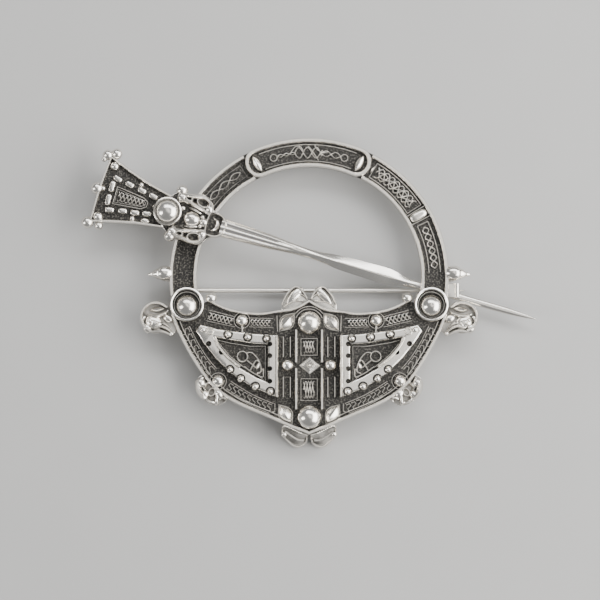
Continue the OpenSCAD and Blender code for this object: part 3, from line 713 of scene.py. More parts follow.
# Takes a round hole out of a piece, as deep as said below its top
def boreFromTop(piece, x, y, radius, top, depth):
    cutter = primitive(bpy.ops.mesh.primitive_cylinder_add, vertices=24, radius=radius, depth=2,
                       location=(x, y, top + 1 - depth))
    cut = piece.modifiers.new("notch", "BOOLEAN")
    cut.operation = "DIFFERENCE"
    cut.solver = "EXACT"
    cut.object = cutter
    pick(piece)
    bpy.ops.object.modifier_apply(modifier=cut.name)
    bpy.data.objects.remove(cutter)


def triangleFrame():
    top, floor = heights["frame"], heights["floor"]
    band = sheetMetal([triangle["outside"], triangle["inside"]], floor - 0.1, top, triangle["edge"])
    for x, y, radius, depth in triangle["notches"]:
        boreFromTop(band, x, y, radius, top, depth)
    for x, y, radius, *shape in triangle["beads"]:
        boreFromTop(band, x, y, radius + triangle["seatGap"], top, triangle["seatDepth"])
    pieces = [markLift(band, floor + 0.1, floor + 0.75)]
    for x, y, radius, rise, stretch, turn in triangle["beads"]:
        pieces.append(dome(x, y, radius, rise, top - triangle["beadDepth"], stretch, turn))
    # Bright ridges: beside the centre strip, and along the inner edge of the slope
    pieces.append(wire(triangle["stripRidge"], 0.56, 1.4, top, 0.85, foot=floor, crest=top))
    pieces.append(wire(smoothLine(triangle["slopeRidge"], 4), 0.62, 1.4, top - 0.05, 0.85,
                       foot=floor, crest=top))
    pieces.append(wire(circle(*triangle["cornerRing"], 18), 0.42, 0.8, top - 0.05, closed=True,
                       foot=top - 0.4, crest=top + 0.1))
    x, y, radius = triangle["cornerBall"]
    pieces.append(ball(x, y, top - 0.05, radius, floor))
    return pieces


def triangleRelief():
    inside = triangle["inside"]
    border = sideStep([inside[0]] + inside[:0:-1], 0.5, closed=True)
    pieces = [strand(border, 0.18, 0.44, 0.2, closed=True),
              strand(circle(*triangle["ring"], 24), 0.3, 0.66, 0.28, closed=True)]
    pieces += [strand(smoothLine(loop, 5), 0.28, 0.6, 0.26) for loop in triangle["loops"]]
    pieces.append(lens(9.1, -15.9, 0.32, 0.75, 0.36, 25))
    return pieces


triangleFramePiece = bothHalves("triangle_frames", triangleFrame())
triangleReliefPiece = bothHalves("triangle_relief", triangleRelief())
print("frames made")

# Key pattern and interlace of the plate's dark bands, right half
bands = {
    # Middle line of a band of keys, number of keys, reach
    "keys": (([(22.35, -9.2), (20.7, -12.4), (18.9, -15.2), (17.3, -17.1)], 8, 0.72),
             ([(14.5, -19.4), (12.2, -20.9), (9.6, -22.3), (6.7, -23.5)], 9, 0.6)),
    "keyShare": 0.76, "lineGap": 0.34,
    # From, to, waves, reach, strands, width, rise
    "plaits": (((13.7, -7.9), (18.0, -6.9), 4, 0.62, 3, 0.22, 0.26),
               ((7.0, -8.2), (10.4, -8.1), 3.5, 0.52, 3, 0.2, 0.26)),
    "bars": ([(6.1, -22.6), (6.1, -24.0), (6.6, -24.2)], [(5.75, -6.9), (5.65, -9.7)]),
    "lines": ([(13.3, -8.9), (18.4, -7.8)], [(13.2, -7.1), (17.8, -5.9)],
              [(6.4, -9.0), (10.7, -8.9)], [(6.4, -7.4), (10.7, -7.3)])}


def plateRelief():
    pieces = []
    for path, count, reach in bands["keys"]:
        place = onPath(smoothLine(path, 5))
        step = bands["keyShare"] / count
        for i in range(count):
            t = (i + 0.12) / count
            hook = [(t + step, -reach), (t + 0.1 * step, -reach), (t, -0.25 * reach),
                    (t + step, 0.25 * reach), (t + 0.9 * step, reach), (t, reach)]
            pieces.append(strand([place(*spot) for spot in hook], 0.2, 0.5))
        for side in (-1, 1):
            line = [place(i / 20, side * (reach + bands["lineGap"])) for i in range(21)]
            pieces.append(strand(line, 0.17, 0.42, 0.2))
    for start, end, *plaiting in bands["plaits"]:
        pieces += plait(onLine(start, end), *plaiting)
    pieces += [strand(bar, 0.2, 0.5) for bar in bands["bars"]]
    pieces += [strand(line, 0.14, 0.34, 0.2) for line in bands["lines"]]
    return pieces


plateReliefPiece = bothHalves("plate_relief", plateRelief())

# Centre strip with its domes, studs and cabochons

strip = {
    "rimX": 2.3, "rimWidth": 0.54, "rims": ((-9.5, -15.3), (-16.4, -23.7)),
    "columns": (3.35, 4.6), "columnSpans": ((-10.7, -14.3), (-17.9, -21.5)),
    # Domed studs: x, y, radius, rise, and the neck wire round one: x, y, radius
    "studs": ((3.85, -15.8, 1.15, 1.35), (12.0, -7.75, 1.12, 1.2), (16.2, -18.6, 1.15, 1.45)),
    "neckWires": ((12.0, -7.75, 1.42), (16.2, -18.6, 1.45)),
    "stem": [(12.0, -8.7), (11.9, -9.9)], "cornerBall": (17.5, -3.75, 0.98),
    # Cabochons: x, y, turn
    "cabochons": ((3.95, -8.05, 40), (4.2, -24.55, -34)), "halfWide": 1.08, "halfLong": 2.0,
    "cabochonRise": 0.78, "cabochonCrease": 0.8, "settingWide": 1.28, "settingLong": 2.15,
    # Big domes: x, y, radius, rise, and the collar lines of the upper one: radius, start, end
    "domes": ((0.02, -8.2, 2.12, 2.15), (0.05, -25.1, 2.22, 2.15)),
    "collars": ((2.5, 20, 160), (2.95, 35, 145)),
    "lozenge": {"x": 0.06, "y": -15.85, "wide": 2.3, "long": 1.8, "rise": 0.95},
    "panels": ((-11.0, -14.0), (-18.2, -22.1)), "panelHalf": 1.45, "knotHalf": 0.95}


def stripRims():
    pieces = [rimWire([(strip["rimX"], start), (strip["rimX"], end)], strip["rimWidth"], "frame")
              for start, end in strip["rims"]]
    pieces += [strand([(x, start), (x, end)], 0.32, 0.9) for start, end in strip["columnSpans"]
               for x in strip["columns"]]
    return pieces


# Pointed oval of the wire that a cabochon sits in
def settingLine():
    wide, long = strip["settingWide"], strip["settingLong"]
    edge = [(wide * math.sin(math.pi * i / 12) ** 1.2, long * (i / 6 - 1)) for i in range(13)]
    return edge + [(-x, y) for x, y in reversed(edge[1:-1])]


def stripStuds():
    floor = heights["floor"]
    pieces = [dome(*stud) for stud in strip["studs"]]
    x, y, radius = strip["cornerBall"]
    pieces.append(ball(x, y, floor + 0.35, radius, heights["back"]))
    pieces += [strand(circle(*neck, 32), 0.16, 0.4, 0.25, closed=True) for neck in strip["neckWires"]]
    pieces.append(strand(strip["stem"], 0.5, 1.0, 0.3))
    for x, y, turn in strip["cabochons"]:
        pieces.append(lens(x, y, strip["halfWide"], strip["halfLong"], strip["cabochonRise"], turn,
                           crease=strip["cabochonCrease"]))
        pieces.append(strand(turnedTo(settingLine(), x, y, turn), 0.16, 0.4, 0.25, closed=True))
    return pieces


# Low pyramid with a ringed stud on its point
def lozenge():
    floor, shape = heights["floor"], strip["lozenge"]
    x, y = shape["x"], shape["y"]
    pyramid = primitive(bpy.ops.mesh.primitive_cone_add, vertices=4, radius1=1, depth=1,
                        location=(0, 0, 0.5))
    pyramid.data.transform(Matrix.Translation((x, y, floor - 0.1))
                           @ Matrix.Diagonal((shape["wide"], shape["long"], shape["rise"], 1)))
    return [markLift(pyramid, floor - 0.1, floor + 0.15),
            wire(circle(x, y, 0.42, 20), 0.18, 0.4, floor + 0.62, closed=True, foot=floor, crest=floor + 0.6),
            dome(x, y, 0.26, 0.25, floor + 0.72, rings=8, around=16)]


def stripMiddle():
    pieces = [dome(*bigDome, rings=20, around=48) for bigDome in strip["domes"]]
    for radius, start, end in strip["collars"]:
        pieces.append(strand(arc(0, -8.2, radius, start, end, 30), 0.2, 0.5, 0.25))
    pieces += lozenge()
    # Panels above and below the lozenge
    half, knotHalf = strip["panelHalf"], strip["knotHalf"]
    for top, bottom in strip["panels"]:
        border = [(-half, top), (half, top), (half, bottom), (-half, bottom)]
        pieces.append(strand(border, 0.22, 0.56, 0.25, closed=True))
        middle, reach = (top + bottom) / 2, (top - bottom) / 2 - 0.45
        pieces += plait(onLine((-knotHalf, middle), (knotHalf, middle)), 2.6, reach, 3, 0.24, 0.3)
    return pieces


stripRimPiece = bothHalves("strip_rims", stripRims())
studPiece = bothHalves("studs_and_cabochons", stripStuds())
stripMiddlePiece = joined("strip_middle", stripMiddle())
print("centre strip made")

# Terminal cups

cups = {"x": 21.83, "y": -4.95, "radius": 3.1, "ringRadius": 2.32, "domeRadius": 2.08, "domeDrop": 0.25,
        "domeRise": 2.1}


def terminalCup():
    low, floor = heights["back"] - backStep, heights["floor"]
    x, y, r = cups["x"], cups["y"], cups["radius"]
    profile = [(0, low), (r - 0.1, low), (r, low + 0.1), (r, floor + 1.0), (r - 0.1, floor + 1.18),
               (r - 0.28, floor + 1.25), (r - 0.46, floor + 1.15), (r - 0.54, floor + 0.9),
               (r - 0.6, floor + 0.25), (r - 0.72, floor + 0.05), (0, floor)]
    cup = turned(profile, x, y, steps=64)
    # Dark inside, bright rim and outer side
    layer = liftLayer(cup)
    for i, point in enumerate(cup.data.vertices):
        spread = math.hypot(point.co.x - x, point.co.y - y)
        layer.data[i].value = 0.0 if spread < r - 0.5 and point.co.z > floor - 0.1 else 1.0
    return [cup,
            wire(circle(x, y, cups["ringRadius"], 48), 0.2, 0.6, floor + 0.1, closed=True,
                 crest=floor + 0.35),
            dome(x, y - cups["domeDrop"], cups["domeRadius"], cups["domeRise"], rings=20, around=48)]


cupPiece = bothHalves("terminal_cups", terminalCup())

# Cones at the sides of the hoop

cones = {"root": (24.6, 0.85), "turn": -5, "lift": 0.3,
         # Half thickness and length from the root
         "profile": [(0, 0), (0.9, 0), (1.15, 0.4), (1.3, 0.85), (1.35, 1.3), (1.3, 1.8), (1.12, 2.2),
                     (0.9, 2.4), (0.96, 2.55), (0.7, 3.0), (0.42, 3.4), (0.32, 3.5), (0.38, 3.68),
                     (0.2, 4.1), (0.04, 4.3), (0, 4.31)],
         "leaf": [(24.4, 2.3), (25.9, 1.9), (27.3, 1.1), (28.2, 0.4), (27.2, -0.2), (25.9, -0.6),
                  (24.4, -0.9)]}


def sideCone():
    floor = heights["floor"]
    cone = turned(cones["profile"], steps=36)
    cone.data.transform(Matrix.Translation((*cones["root"], floor + cones["lift"]))
                        @ Matrix.Rotation(math.radians(cones["turn"]), 4, "Z")
                        @ Matrix.Rotation(math.pi / 2, 4, "Y"))
    leaf = sheetMetal([cones["leaf"]], heights["back"] + backStep, floor - 0.25, 0.1)
    return [markLift(cone, heights["back"] - 0.5, floor - 0.3), markLift(leaf, floor - 0.53, floor - 0.03)]


conePiece = bothHalves("side_cones", sideCone())

# Beast heads round the edge, each one the right half of a pair

sideBeast = {
    "x": 27.35, "y": -7.15, "plateRadius": 2.9, "neck": [(23.8, -6.4), (23.7, -9.6), (24.5, -10.4)],
    "browRadius": 2.6,
    # Domes: x, y, radius, rise, stretch, turn
    "domes": ((28.9, -9.15, 0.75, 0.8, 1.3, 60), (25.2, -7.4, 0.7, 0.6, 1.4, 30)),
    # Line, width, height
    "wires": (([(25.1, -6.0), (26.2, -6.7), (27.6, -7.0), (29.0, -6.7)], 0.6, 1.5),
              ([(29.3, -7.0), (29.8, -7.9), (29.4, -8.9)], 0.62, 1.5),
              ([(27.9, -7.7), (28.2, -8.4), (28.7, -9.2)], 0.55, 1.5),
              ([(26.5, -7.9), (27.1, -8.3), (27.6, -8.8)], 0.5, 1.4),
              ([(28.0, -9.1), (26.6, -8.8), (25.4, -9.2), (24.5, -9.95)], 0.6, 1.4),
              ([(28.3, -9.75), (26.9, -9.55), (25.7, -9.85), (24.7, -10.35)], 0.5, 1.4),
              ([(26.9, -8.1), (25.8, -8.4), (24.7, -9.2)], 0.46, 1.2))}


def sideHead():
    low, floor = heights["back"] + backStep, heights["floor"]
    x, y = sideBeast["x"], sideBeast["y"]
    plate = sheetMetal([arc(x, y, sideBeast["plateRadius"], -110, 160, 30) + sideBeast["neck"]],
                       low, floor - 0.1, 0.12)
    pieces = [darkTop(plate, floor - 0.1, 0.24)]
    pieces.append(wire(arc(x, y, sideBeast["browRadius"], 140, -72, 36), 0.62, 1.9, floor - 0.15, 0.7,
                       foot=floor - 0.3, crest=floor + 0.3))
    pieces.append(lens(27.1, -5.75, 0.55, 1.5, 0.8, 84, floor - 0.1))
    for domeX, domeY, radius, rise, stretch, turn in sideBeast["domes"]:
        pieces.append(dome(domeX, domeY, radius, rise, floor - 0.1, stretch, turn))

    # Domed cheek with a dark hollow above it
    def cheek(a, b, c):
        return a * 1.75, b * 1.35, 0.85 * c if c > 0 else 0.2 * c
    pieces.append(moulded(cheek, x + 0.35, y - 1.0, floor - 0.2, 28, floor - 0.1, floor + 0.15))
    pieces += smoothWires(sideBeast["wires"], floor - 0.05, floor - 0.1, floor + 0.3, 5,
                          swelling(0.45, 0.75, 0.15))
    pieces.append(dome(28.5, -7.75, 0.42, 0.5, floor + 0.35, rings=8, around=16))
    pieces.append(ball(24.6, -10.15, floor + 0.1, 0.42, floor - 0.4))
    return pieces


lowerBeast = {
    "outline": [(16.2, -17.5), (19.3, -17.6), (20.3, -18.8), (20.0, -20.4), (19.2, -21.6),
                (17.9, -22.6), (16.3, -23.0), (14.9, -22.3), (14.6, -21.2), (16.0, -19.6)],
    # Domes: x, y, radius, rise, stretch, turn
    "domes": ((19.35, -18.95, 1.0, 1.15, 1.0, 0), (16.1, -20.9, 0.8, 0.9, 1.3, 50),
              (18.6, -21.0, 0.85, 1.0, 1.0, 0)),
    # Line, width, height
    "wires": (([(18.9, -18.0), (19.7, -18.9), (19.6, -20.2), (19.0, -21.2), (18.4, -21.7)], 1.0, 2.0),
              ([(17.4, -18.9), (18.2, -19.1), (18.7, -19.7), (18.5, -20.2)], 0.6, 1.6),
              ([(18.5, -21.6), (17.8, -22.2), (16.8, -22.5)], 0.5, 1.5),
              ([(16.0, -21.9), (15.3, -21.6), (14.8, -21.9), (15.1, -22.4)], 0.5, 1.4)),
    "eye": (17.35, -20.6), "snout": (16.45, -21.75)}


def lowerHead():
    low, floor = heights["back"] + backStep, heights["floor"]
    plate = sheetMetal([smoothLine(lowerBeast["outline"], 3, True)], low, floor - 0.05, 0.12)
    pieces = [darkTop(plate, floor - 0.05, 0.24)]
    for x, y, radius, rise, stretch, turn in lowerBeast["domes"]:
        pieces.append(dome(x, y, radius, rise, floor - 0.05, stretch, turn))
    pieces += smoothWires(lowerBeast["wires"], floor, floor, floor + 0.3, 6, swelling(0.5, 0.7, 0.1))
    x, y = lowerBeast["eye"]
    ring = [(x + 0.5 * c - 0.3 * s, y + 0.66 * s + 0.2 * c) for c, s in circle(0, 0, 1, 24)]
    pieces.append(wire(ring, 0.4, 1.3, floor, closed=True, foot=floor, crest=floor + 0.35))

    def snout(a, b, c):
        taper = 0.75 - 0.25 * b
        return a * 0.56 * taper, b * 1.3, 0.95 * c if c > 0 else 0.4 * c
    pieces.append(moulded(snout, *lowerBeast["snout"], floor - 0.1, 5, floor, floor + 0.25))
    return pieces


topBeast = {
    "outline": [(0.25, -4.3), (0.5, -3.4), (1.1, -2.5), (2.0, -1.75), (2.7, -1.75), (3.7, -2.7),
                (4.6, -4.0), (4.95, -5.2), (4.6, -6.2), (2.6, -5.6)],
    "brow": [(0.35, -3.9), (0.9, -2.9), (1.7, -2.0), (2.4, -1.75), (3.2, -2.2), (4.1, -3.35), (4.85, -4.9)],
    "upperFold": [(0.7, -3.5), (1.5, -3.0), (2.3, -3.1), (2.9, -3.7)],
    "lowerFold": [(0.9, -4.3), (2.2, -4.3), (3.5, -4.6), (4.6, -5.4)], "leaf": (2.65, -3.35)}


def topHead():
    low, floor = heights["back"] + backStep, heights["floor"]
    plate = sheetMetal([smoothLine(topBeast["outline"], 3, True)], low, floor + 0.1, 0.12)
    pieces = [markLift(plate, floor - 0.42, floor + 0.48),
              wire(smoothLine(topBeast["brow"], 5), 0.4, 1.5, floor + 0.1, 0.8, foot=floor - 0.2)]

    # Leaf that swells towards its apex, over a dark fold
    def leaf(a, b, c):
        return a * 2.15, b * (0.85 + 0.25 * a), 0.72 * c if c > 0 else 0.2 * c
    pieces.append(moulded(leaf, *topBeast["leaf"], floor + 0.05, -227, floor + 0.05, floor + 0.3))
    pieces.append(wire(smoothLine(topBeast["upperFold"], 5), 0.26, 0.7, floor + 0.45,
                       foot=floor + 0.3, crest=floor + 0.7))
    pieces.append(wire(smoothLine(topBeast["lowerFold"], 5), 0.3, 0.9, floor + 0.1,
                       foot=floor, crest=floor + 0.4))
    return pieces


footBeast = {
    "top": [(0.25, -28.3), (1.5, -27.9), (2.9, -27.2), (4.2, -26.6), (4.75, -26.9)],
    "bottom": [(0.5, -29.3), (1.3, -30.0), (2.4, -30.15), (3.7, -29.25), (4.85, -28.0)],
    "vein": [(0.9, -29.1, 3.0), (2.0, -29.0, 3.05), (3.3, -28.2, 3.2), (4.3, -27.6, 3.5)],
    # Bright edges at both ends of the petal
    "ends": ([(0.42, -28.5, 3.75), (0.45, -29.0, 3.2), (0.62, -29.4, 1.9)],
             [(4.7, -27.1, 3.75), (4.78, -27.6, 3.3), (4.75, -28.0, 2.6)]),
    "ball": (4.45, -28.05, 3.1, 0.5), "rows": 7, "steps": 4, "thick": 0.6, "bulge": 0.25, "droop": 3.3}


# Petal that bends down from the plate's foot, between two lines
def footPetal(upper, lower):
    rows, floor = footBeast["rows"], heights["floor"]
    points, faces = [], []
    for a, b in zip(upper, lower):
        for k in range(rows + 1):
            t = k / rows
            height = floor + footBeast["bulge"] * math.sin(math.pi * t) - footBeast["droop"] * t ** 2.2
            points.append((a[0] + (b[0] - a[0]) * t, a[1] + (b[1] - a[1]) * t, height))
    for i in range(len(upper) - 1):
        for k in range(rows):
            first = i * (rows + 1) + k
            faces.append((first, first + 1, first + rows + 2, first + rows + 1))
    mesh = bpy.data.meshes.new("petal")
    mesh.from_pydata(points, [], faces)
    petal = addObject("petal", mesh)
    thick = petal.modifiers.new("thick", "SOLIDIFY")
    thick.thickness = footBeast["thick"]
    thick.offset = -1
    pick(petal)
    bpy.ops.object.modifier_apply(modifier=thick.name)
    for point in petal.data.vertices:
        point.co.z = max(point.co.z, 0.02)
    closeUp(petal)
    return darkTop(petal, 1.2, 0.2)


def footHead():
    floor, steps = heights["floor"], footBeast["steps"]
    upper, lower = smoothLine(footBeast["top"], steps), smoothLine(footBeast["bottom"], steps)
    pieces = [footPetal(upper, lower),
              wire(upper, 0.34, 0.5, floor + 0.1, foot=floor - 0.2, crest=floor + 0.3)]
    for x, y in upper[4:14]:
        pieces.append(dome(x, y - 0.05, 0.2, 0.22, floor + 0.3, rings=6, around=10))
    pieces.append(wire([(x, y + 0.1) for x, y in lower], 0.5, 0.9, 0.5, foot=-1, crest=0.2))
    pieces.append(ball(*footBeast["ball"], -1))
    pieces.append(wire(smoothLine(footBeast["vein"], 4), 0.42, 0.7, foot=2.0, crest=2.6))
    pieces += [wire(edge, 0.34, 0.5, foot=1.0, crest=1.6) for edge in footBeast["ends"]]
    return pieces


headPieces = [bothHalves("side_heads", sideHead()), bothHalves("lower_heads", lowerHead()),
              bothHalves("top_heads", topHead()), bothHalves("foot_heads", footHead())]
print("heads made")

# Back: hinge ears and catch, soldered under the hoop and the plate

back = {"hingeX": -22.3, "y": -2.07, "z": 0.95, "earRadius": 0.65, "earWidth": 0.8, "eyeWidth": 1.0,
        "gap": 0.12, "bore": 0.33, "edge": 0.06, "intoBack": 0.3,
        "hookX": 24.85, "hookWidth": 1.5, "hookInner": 0.5, "hookThick": 0.45, "hookBend": -48,
        "tabFrom": -3.6, "tabTo": -1.0, "tabThick": 0.7}


def hingeEars():
    r, half = back["earRadius"], back["earWidth"] / 2
    top = heights["back"] - back["z"] + back["intoBack"]
    outline = arc(0, r - back["z"], r, -180, 0, 20) + [(r, top), (-r, top)]
    pieces = []
    for side in (-1, 1):
        middle = back["y"] + side * (back["eyeWidth"] / 2 + back["gap"] + half)
        ear = sheetMetal([outline, circle(0, 0, back["bore"], 24)], -half, half, back["edge"])
        ear.data.transform(Matrix.Translation((back["hingeX"], middle, back["z"]))
                           @ Matrix.Rotation(math.pi / 2, 4, "X"))
        pieces.append(allBright(ear))
    return pieces


def catchHook():
    low, start, end = heights["back"], back["tabFrom"], back["tabTo"]
    x, width = back["hookX"], back["hookWidth"]
    inner, thick = back["hookInner"], back["hookThick"]
    left, right = x - 0.3, x + width + 0.1
    tab = sheetMetal([[(left, start), (right, start), (right, end), (left, end)]],
                     low, low + back["tabThick"], 0.12)
    # Post beside the needle, bent into an open hook below it
    top = low + back["intoBack"] - back["z"]
    across = [(inner, top), (inner + thick, top)] + arc(0, 0, inner + thick, 0, back["hookBend"], 10)
    across += arc(0, 0, inner, back["hookBend"], 0, 10)
    hook = sheetMetal([across], -width / 2, width / 2, back["edge"])
    hook.data.transform(Matrix.Translation((x + width / 2, back["y"], back["z"]))
                        @ Matrix(((0, 0, 1, 0), (1, 0, 0, 0), (0, 1, 0, 0), (0, 0, 0, 1))))
    roll = wire([(right, start + 0.1), (right, end - 0.1)], 0.9, 0.9, low + 0.5, foot=-2, crest=-1)
    return [allBright(tab), allBright(hook), roll]


backPiece = joined("hinge_and_catch", hingeEars() + catchHook())
print("back made")

# Long pin, laid out along its own line and then tilted

pin = {"tilt": -16.0, "offset": 4.16, "low": 4.1, "strapAt": 154.0, "strapHalf": 5.0, "strapGap": 0.22,
       "strapThick": 0.65, "strapEdge": 0.12, "overRim": 0.9}
pinTurn = Matrix.Rotation(math.radians(pin["tilt"]), 4, "Z") @ Matrix.Translation((0, pin["offset"], 0))

pinPlate = {
    "thick": 0.9, "rimRise": 0.7,
    "corners": [(-40.6, 0.7), (-40.5, -5.4), (-37.0, -4.6), (-32.5, -3.6), (-27.6, -2.9), (-27.6, 3.0),
                (-32.0, 4.15), (-36.0, 5.45), (-40.1, 6.9)],
    # Nibs along the edge: x, y, turn
    "nibs": ((-37.75, 3.3, -15), (-35.4, 2.9, -13), (-33.0, 2.45, -12), (-30.75, 2.0, -12),
             (-37.6, -2.5, 14), (-35.3, -2.05, 12), (-33.1, -1.75, 10), (-31.0, -1.35, 10)),
    "bars": ((-38.35, 1.7), (-38.35, -0.75)),
    "panel": [(-37.4, 1.95), (-37.4, -1.25), (-32.3, -0.75), (-31.4, -0.1), (-31.4, 0.75), (-32.3, 1.3)],
    "strands": 3, "strandSteps": 42, "strandWaves": 4.6, "strandFrom": -36.8, "strandLong": 4.9,
    # Balls: x, y, height, radius
    "balls": ((-40.7, 7.0, 5.0, 0.95), (-39.2, 7.62, 5.0, 0.98), (-41.15, 6.1, 5.0, 0.5),
              (-40.8, -5.7, 5.0, 1.12), (-38.7, -5.75, 5.0, 0.78), (-40.9, 0.7, 4.9, 1.1)),
    # Domes: x, y, radius
    "domes": ((-38.9, 5.35, 0.86), (-39.25, -4.2, 0.95), (-39.85, 0.95, 0.5), (-33.4, 3.45, 0.48),
              (-33.3, -2.85, 0.52), (-30.0, 0.35, 0.45))}


# Block with soft corners
def nib(a, b, c):
    return (math.copysign(abs(a) ** 0.5, a) * 0.86, math.copysign(abs(b) ** 0.6, b) * 0.5,
            0.8 * c ** 0.5 if c > 0 else 0.2 * c)


def bar(a, b, c):
    x, y, z = nib(a, b, c)
    return 1.25 * x, y, z


def pinHead():
    low = pin["low"]
    floor = low + pinPlate["thick"]
    corners, panel = pinPlate["corners"], pinPlate["panel"]
    pieces = [darkTop(sheetMetal([corners], low, floor, 0.08), floor)]
    pieces.append(wire(sideStep(corners, 0.2, closed=True), 0.62, 2 * pinPlate["rimRise"], floor, 0.6,
                       closed=True, foot=floor - 0.3))
    for x, y, turn in pinPlate["nibs"]:
        pieces.append(moulded(nib, x, y, floor, turn, floor, floor + 0.3, 10, 20))
    for x, y in pinPlate["bars"]:
        pieces.append(moulded(bar, x, y, floor, 90, floor, floor + 0.3, 10, 20))
    pieces.append(wire(panel, 0.26, 0.7, floor, closed=True, foot=floor, crest=floor + 0.3))
    pieces.append(wire(sideStep(panel, 0.42, closed=True), 0.14, 0.4, floor, closed=True, foot=floor,
                       crest=floor + 0.22))
    # Plait that gets narrower towards the neck
    steps, strands = pinPlate["strandSteps"], pinPlate["strands"]
    for k in range(strands):
        line = []
        for i in range(steps + 1):
            phase = math.pi * pinPlate["strandWaves"] * i / steps + math.tau * k / strands
            line.append((pinPlate["strandFrom"] + pinPlate["strandLong"] * i / steps,
                         0.33 + (0.85 - 0.3 * i / steps) * math.sin(phase), 0.08 * math.cos(2 * phase)))
        pieces.append(wire(line, 0.24, 0.6, floor, foot=floor, crest=floor + 0.3))
    for x, y, z, radius in pinPlate["balls"]:
        pieces.append(ball(x, y, z, radius, z - 0.9 * radius))
    for x, y, radius in pinPlate["domes"]:
        pieces.append(dome(x, y, radius, 0.95 * radius + 0.15, floor, rings=10, around=20))
    pieces.append(dome(-31.0, -2.6, 0.5, 0.35, floor, 1.6, 10))
    return pieces


pinBeast = {
    "bossX": -27.5, "bossRing": 2.12, "bossDome": 2.02, "bossRise": 1.6, "seat": 2.3,
    # Boss: radius, height above the pin's back
    "bossProfile": [(2.6, 0.1), (2.6, 2.55), (2.5, 2.8), (2.38, 2.85), (2.26, 2.75), (2.18, 2.4), (0, 2.3)],
    "upper": [(-28.0, 2.6), (-26.6, 4.0), (-25.0, 3.6), (-23.2, 4.1), (-21.6, 4.45), (-20.3, 3.75),
              (-19.3, 2.2), (-17.4, 1.7)],
    "lower": [(-28.0, -2.6), (-26.6, -3.6), (-25.0, -3.4), (-23.2, -3.45), (-21.6, -3.95),
              (-20.2, -3.95), (-19.2, -2.6), (-17.4, -1.7)],
    "overRim": 0.22, "thick": 1.1, "sideShift": {1: 0.15, -1: -0.05},
    # Domes of the snout and eyes: x, y, radius, rise, height
    "domes": ((-20.75, -0.1, 0.85, 0.95, -0.05), (-21.2, 0.75, 0.42, 0.75, 0), (-21.2, -0.95, 0.42, 0.75, 0)),
    # Brows and lobes of one side: line, width, height
    "wires": (([(-26.0, 2.3), (-25.2, 2.65), (-24.0, 2.6), (-22.8, 2.3), (-21.4, 1.95), (-20.2, 1.5)],
               0.8, 1.7),
              ([(-25.9, 3.9), (-24.8, 3.75), (-23.2, 3.95), (-21.8, 4.15), (-20.6, 3.6), (-19.9, 2.5)],
               0.85, 1.8),
              ([(-23.9, 1.7), (-22.8, 1.55), (-21.6, 1.2)], 0.5, 1.3)),
    # Oval hollows of one side: x, y, half width, half length
    "hollows": ((-21.7, 3.15, 0.78, 1.15), (-24.4, 3.2, 0.42, 0.6)),
    # Full tip of the lobe, and the cheek that joins it to the boss: x, y, radius, rise, stretch, turn
    "lobes": ((-20.4, 2.3, 0.75, 0.95, 1.3, -62), (-25.7, 3.1, 0.8, 0.8, 1.2, 20)),
    # Balls: x, y, height, radius, foot
    "balls": ((-26.1, 4.45, 5.4, 1.02, 4.6), (-26.0, -4.05, 5.4, 1.05, 4.6)),
    "collarEnd": [(-19.9, 2.05), (-20.15, 1.2), (-20.2, 0), (-20.15, -1.2), (-19.9, -2.05)],
    "collarThick": 0.95}


# Boss that hides the joint of head and neck
def pinBoss():
    low, x = pin["low"], pinBeast["bossX"]
    seat = low + pinBeast["seat"]
    profile = [(0, low - backStep), (2.5, low - backStep)]
    profile += [(radius, low + height) for radius, height in pinBeast["bossProfile"]]
    return [markLift(turned(profile, x, 0, steps=56), low - 1, low),
            wire(circle(x, 0, pinBeast["bossRing"], 40), 0.14, 0.5, seat, closed=True,
                 foot=seat, crest=low + 3),
            dome(x, 0, pinBeast["bossDome"], pinBeast["bossRise"], seat, rings=20, around=44)]


def pinNeck():
    deck = heights["rim"] + pinBeast["overRim"]
    top = deck + pinBeast["thick"]
    outline = smoothLine(pinBeast["upper"], 3) + smoothLine(pinBeast["lower"], 3)[::-1]
    pieces = pinBoss()
    pieces.append(darkTop(sheetMetal([outline], deck, top, 0.15), top))

    # Snout of the beast: a long dome with brows, ending at the collar
    def snout(a, b, c):
        return a * 1.6, b * (1.4 - 0.15 * a), 1.5 * c if c > 0 else 0.3 * c
    pieces.append(moulded(snout, -22.9, -0.1, top - 0.1, 0, top - 0.05, top + 0.3, 16, 32))
    for x, y, radius, rise, z in pinBeast["domes"]:
        pieces.append(dome(x, y, radius, rise, top + z))
    for side, shift in pinBeast["sideShift"].items():
        rows = [([(x, side * (y - 0.1) + shift) for x, y in line], width, height)
                for line, width, height in pinBeast["wires"]]
        pieces += smoothWires(rows, top, top, top + 0.3, 5, swelling(0.6, 0.6))
        for x, y, wide, long in pinBeast["hollows"]:
            ring = [(long * c, wide * s) for c, s in circle(0, 0, 1, 22)]
            pieces.append(wire(turnedTo(ring, x, side * y + shift, -8 * side), 0.5, 1.6, top, closed=True,
                               foot=top, crest=top + 0.25))
        for x, y, radius, rise, stretch, turn in pinBeast["lobes"]:
            pieces.append(dome(x, side * y + shift, radius, rise, top - 0.05, stretch, turn * side))
    pieces += [ball(*spot) for spot in pinBeast["balls"]]
    pieces.append(ball(-25.0, 1.35, top + 0.05, 0.45, top - 0.2))
    # Collar: D-shaped hollow with a thick rim and an inner crescent
    collar = arc(-18.8, 0, 2.05, -90, 90, 24) + pinBeast["collarEnd"]
    hollow = deck + pinBeast["collarThick"]
    pieces.append(darkTop(sheetMetal([collar], deck, hollow, 0.1), hollow))
    pieces.append(wire(collar, 0.5, 1.7, hollow, closed=True, foot=deck + 0.9, crest=deck + 1.4))
    pieces.append(wire(arc(-19.3, 0, 1.1, -80, 80, 16), 0.85, 1.5, hollow, foot=hollow, crest=deck + 1.3,
                       swell=swelling(0.3, 0.9)))
    return pieces


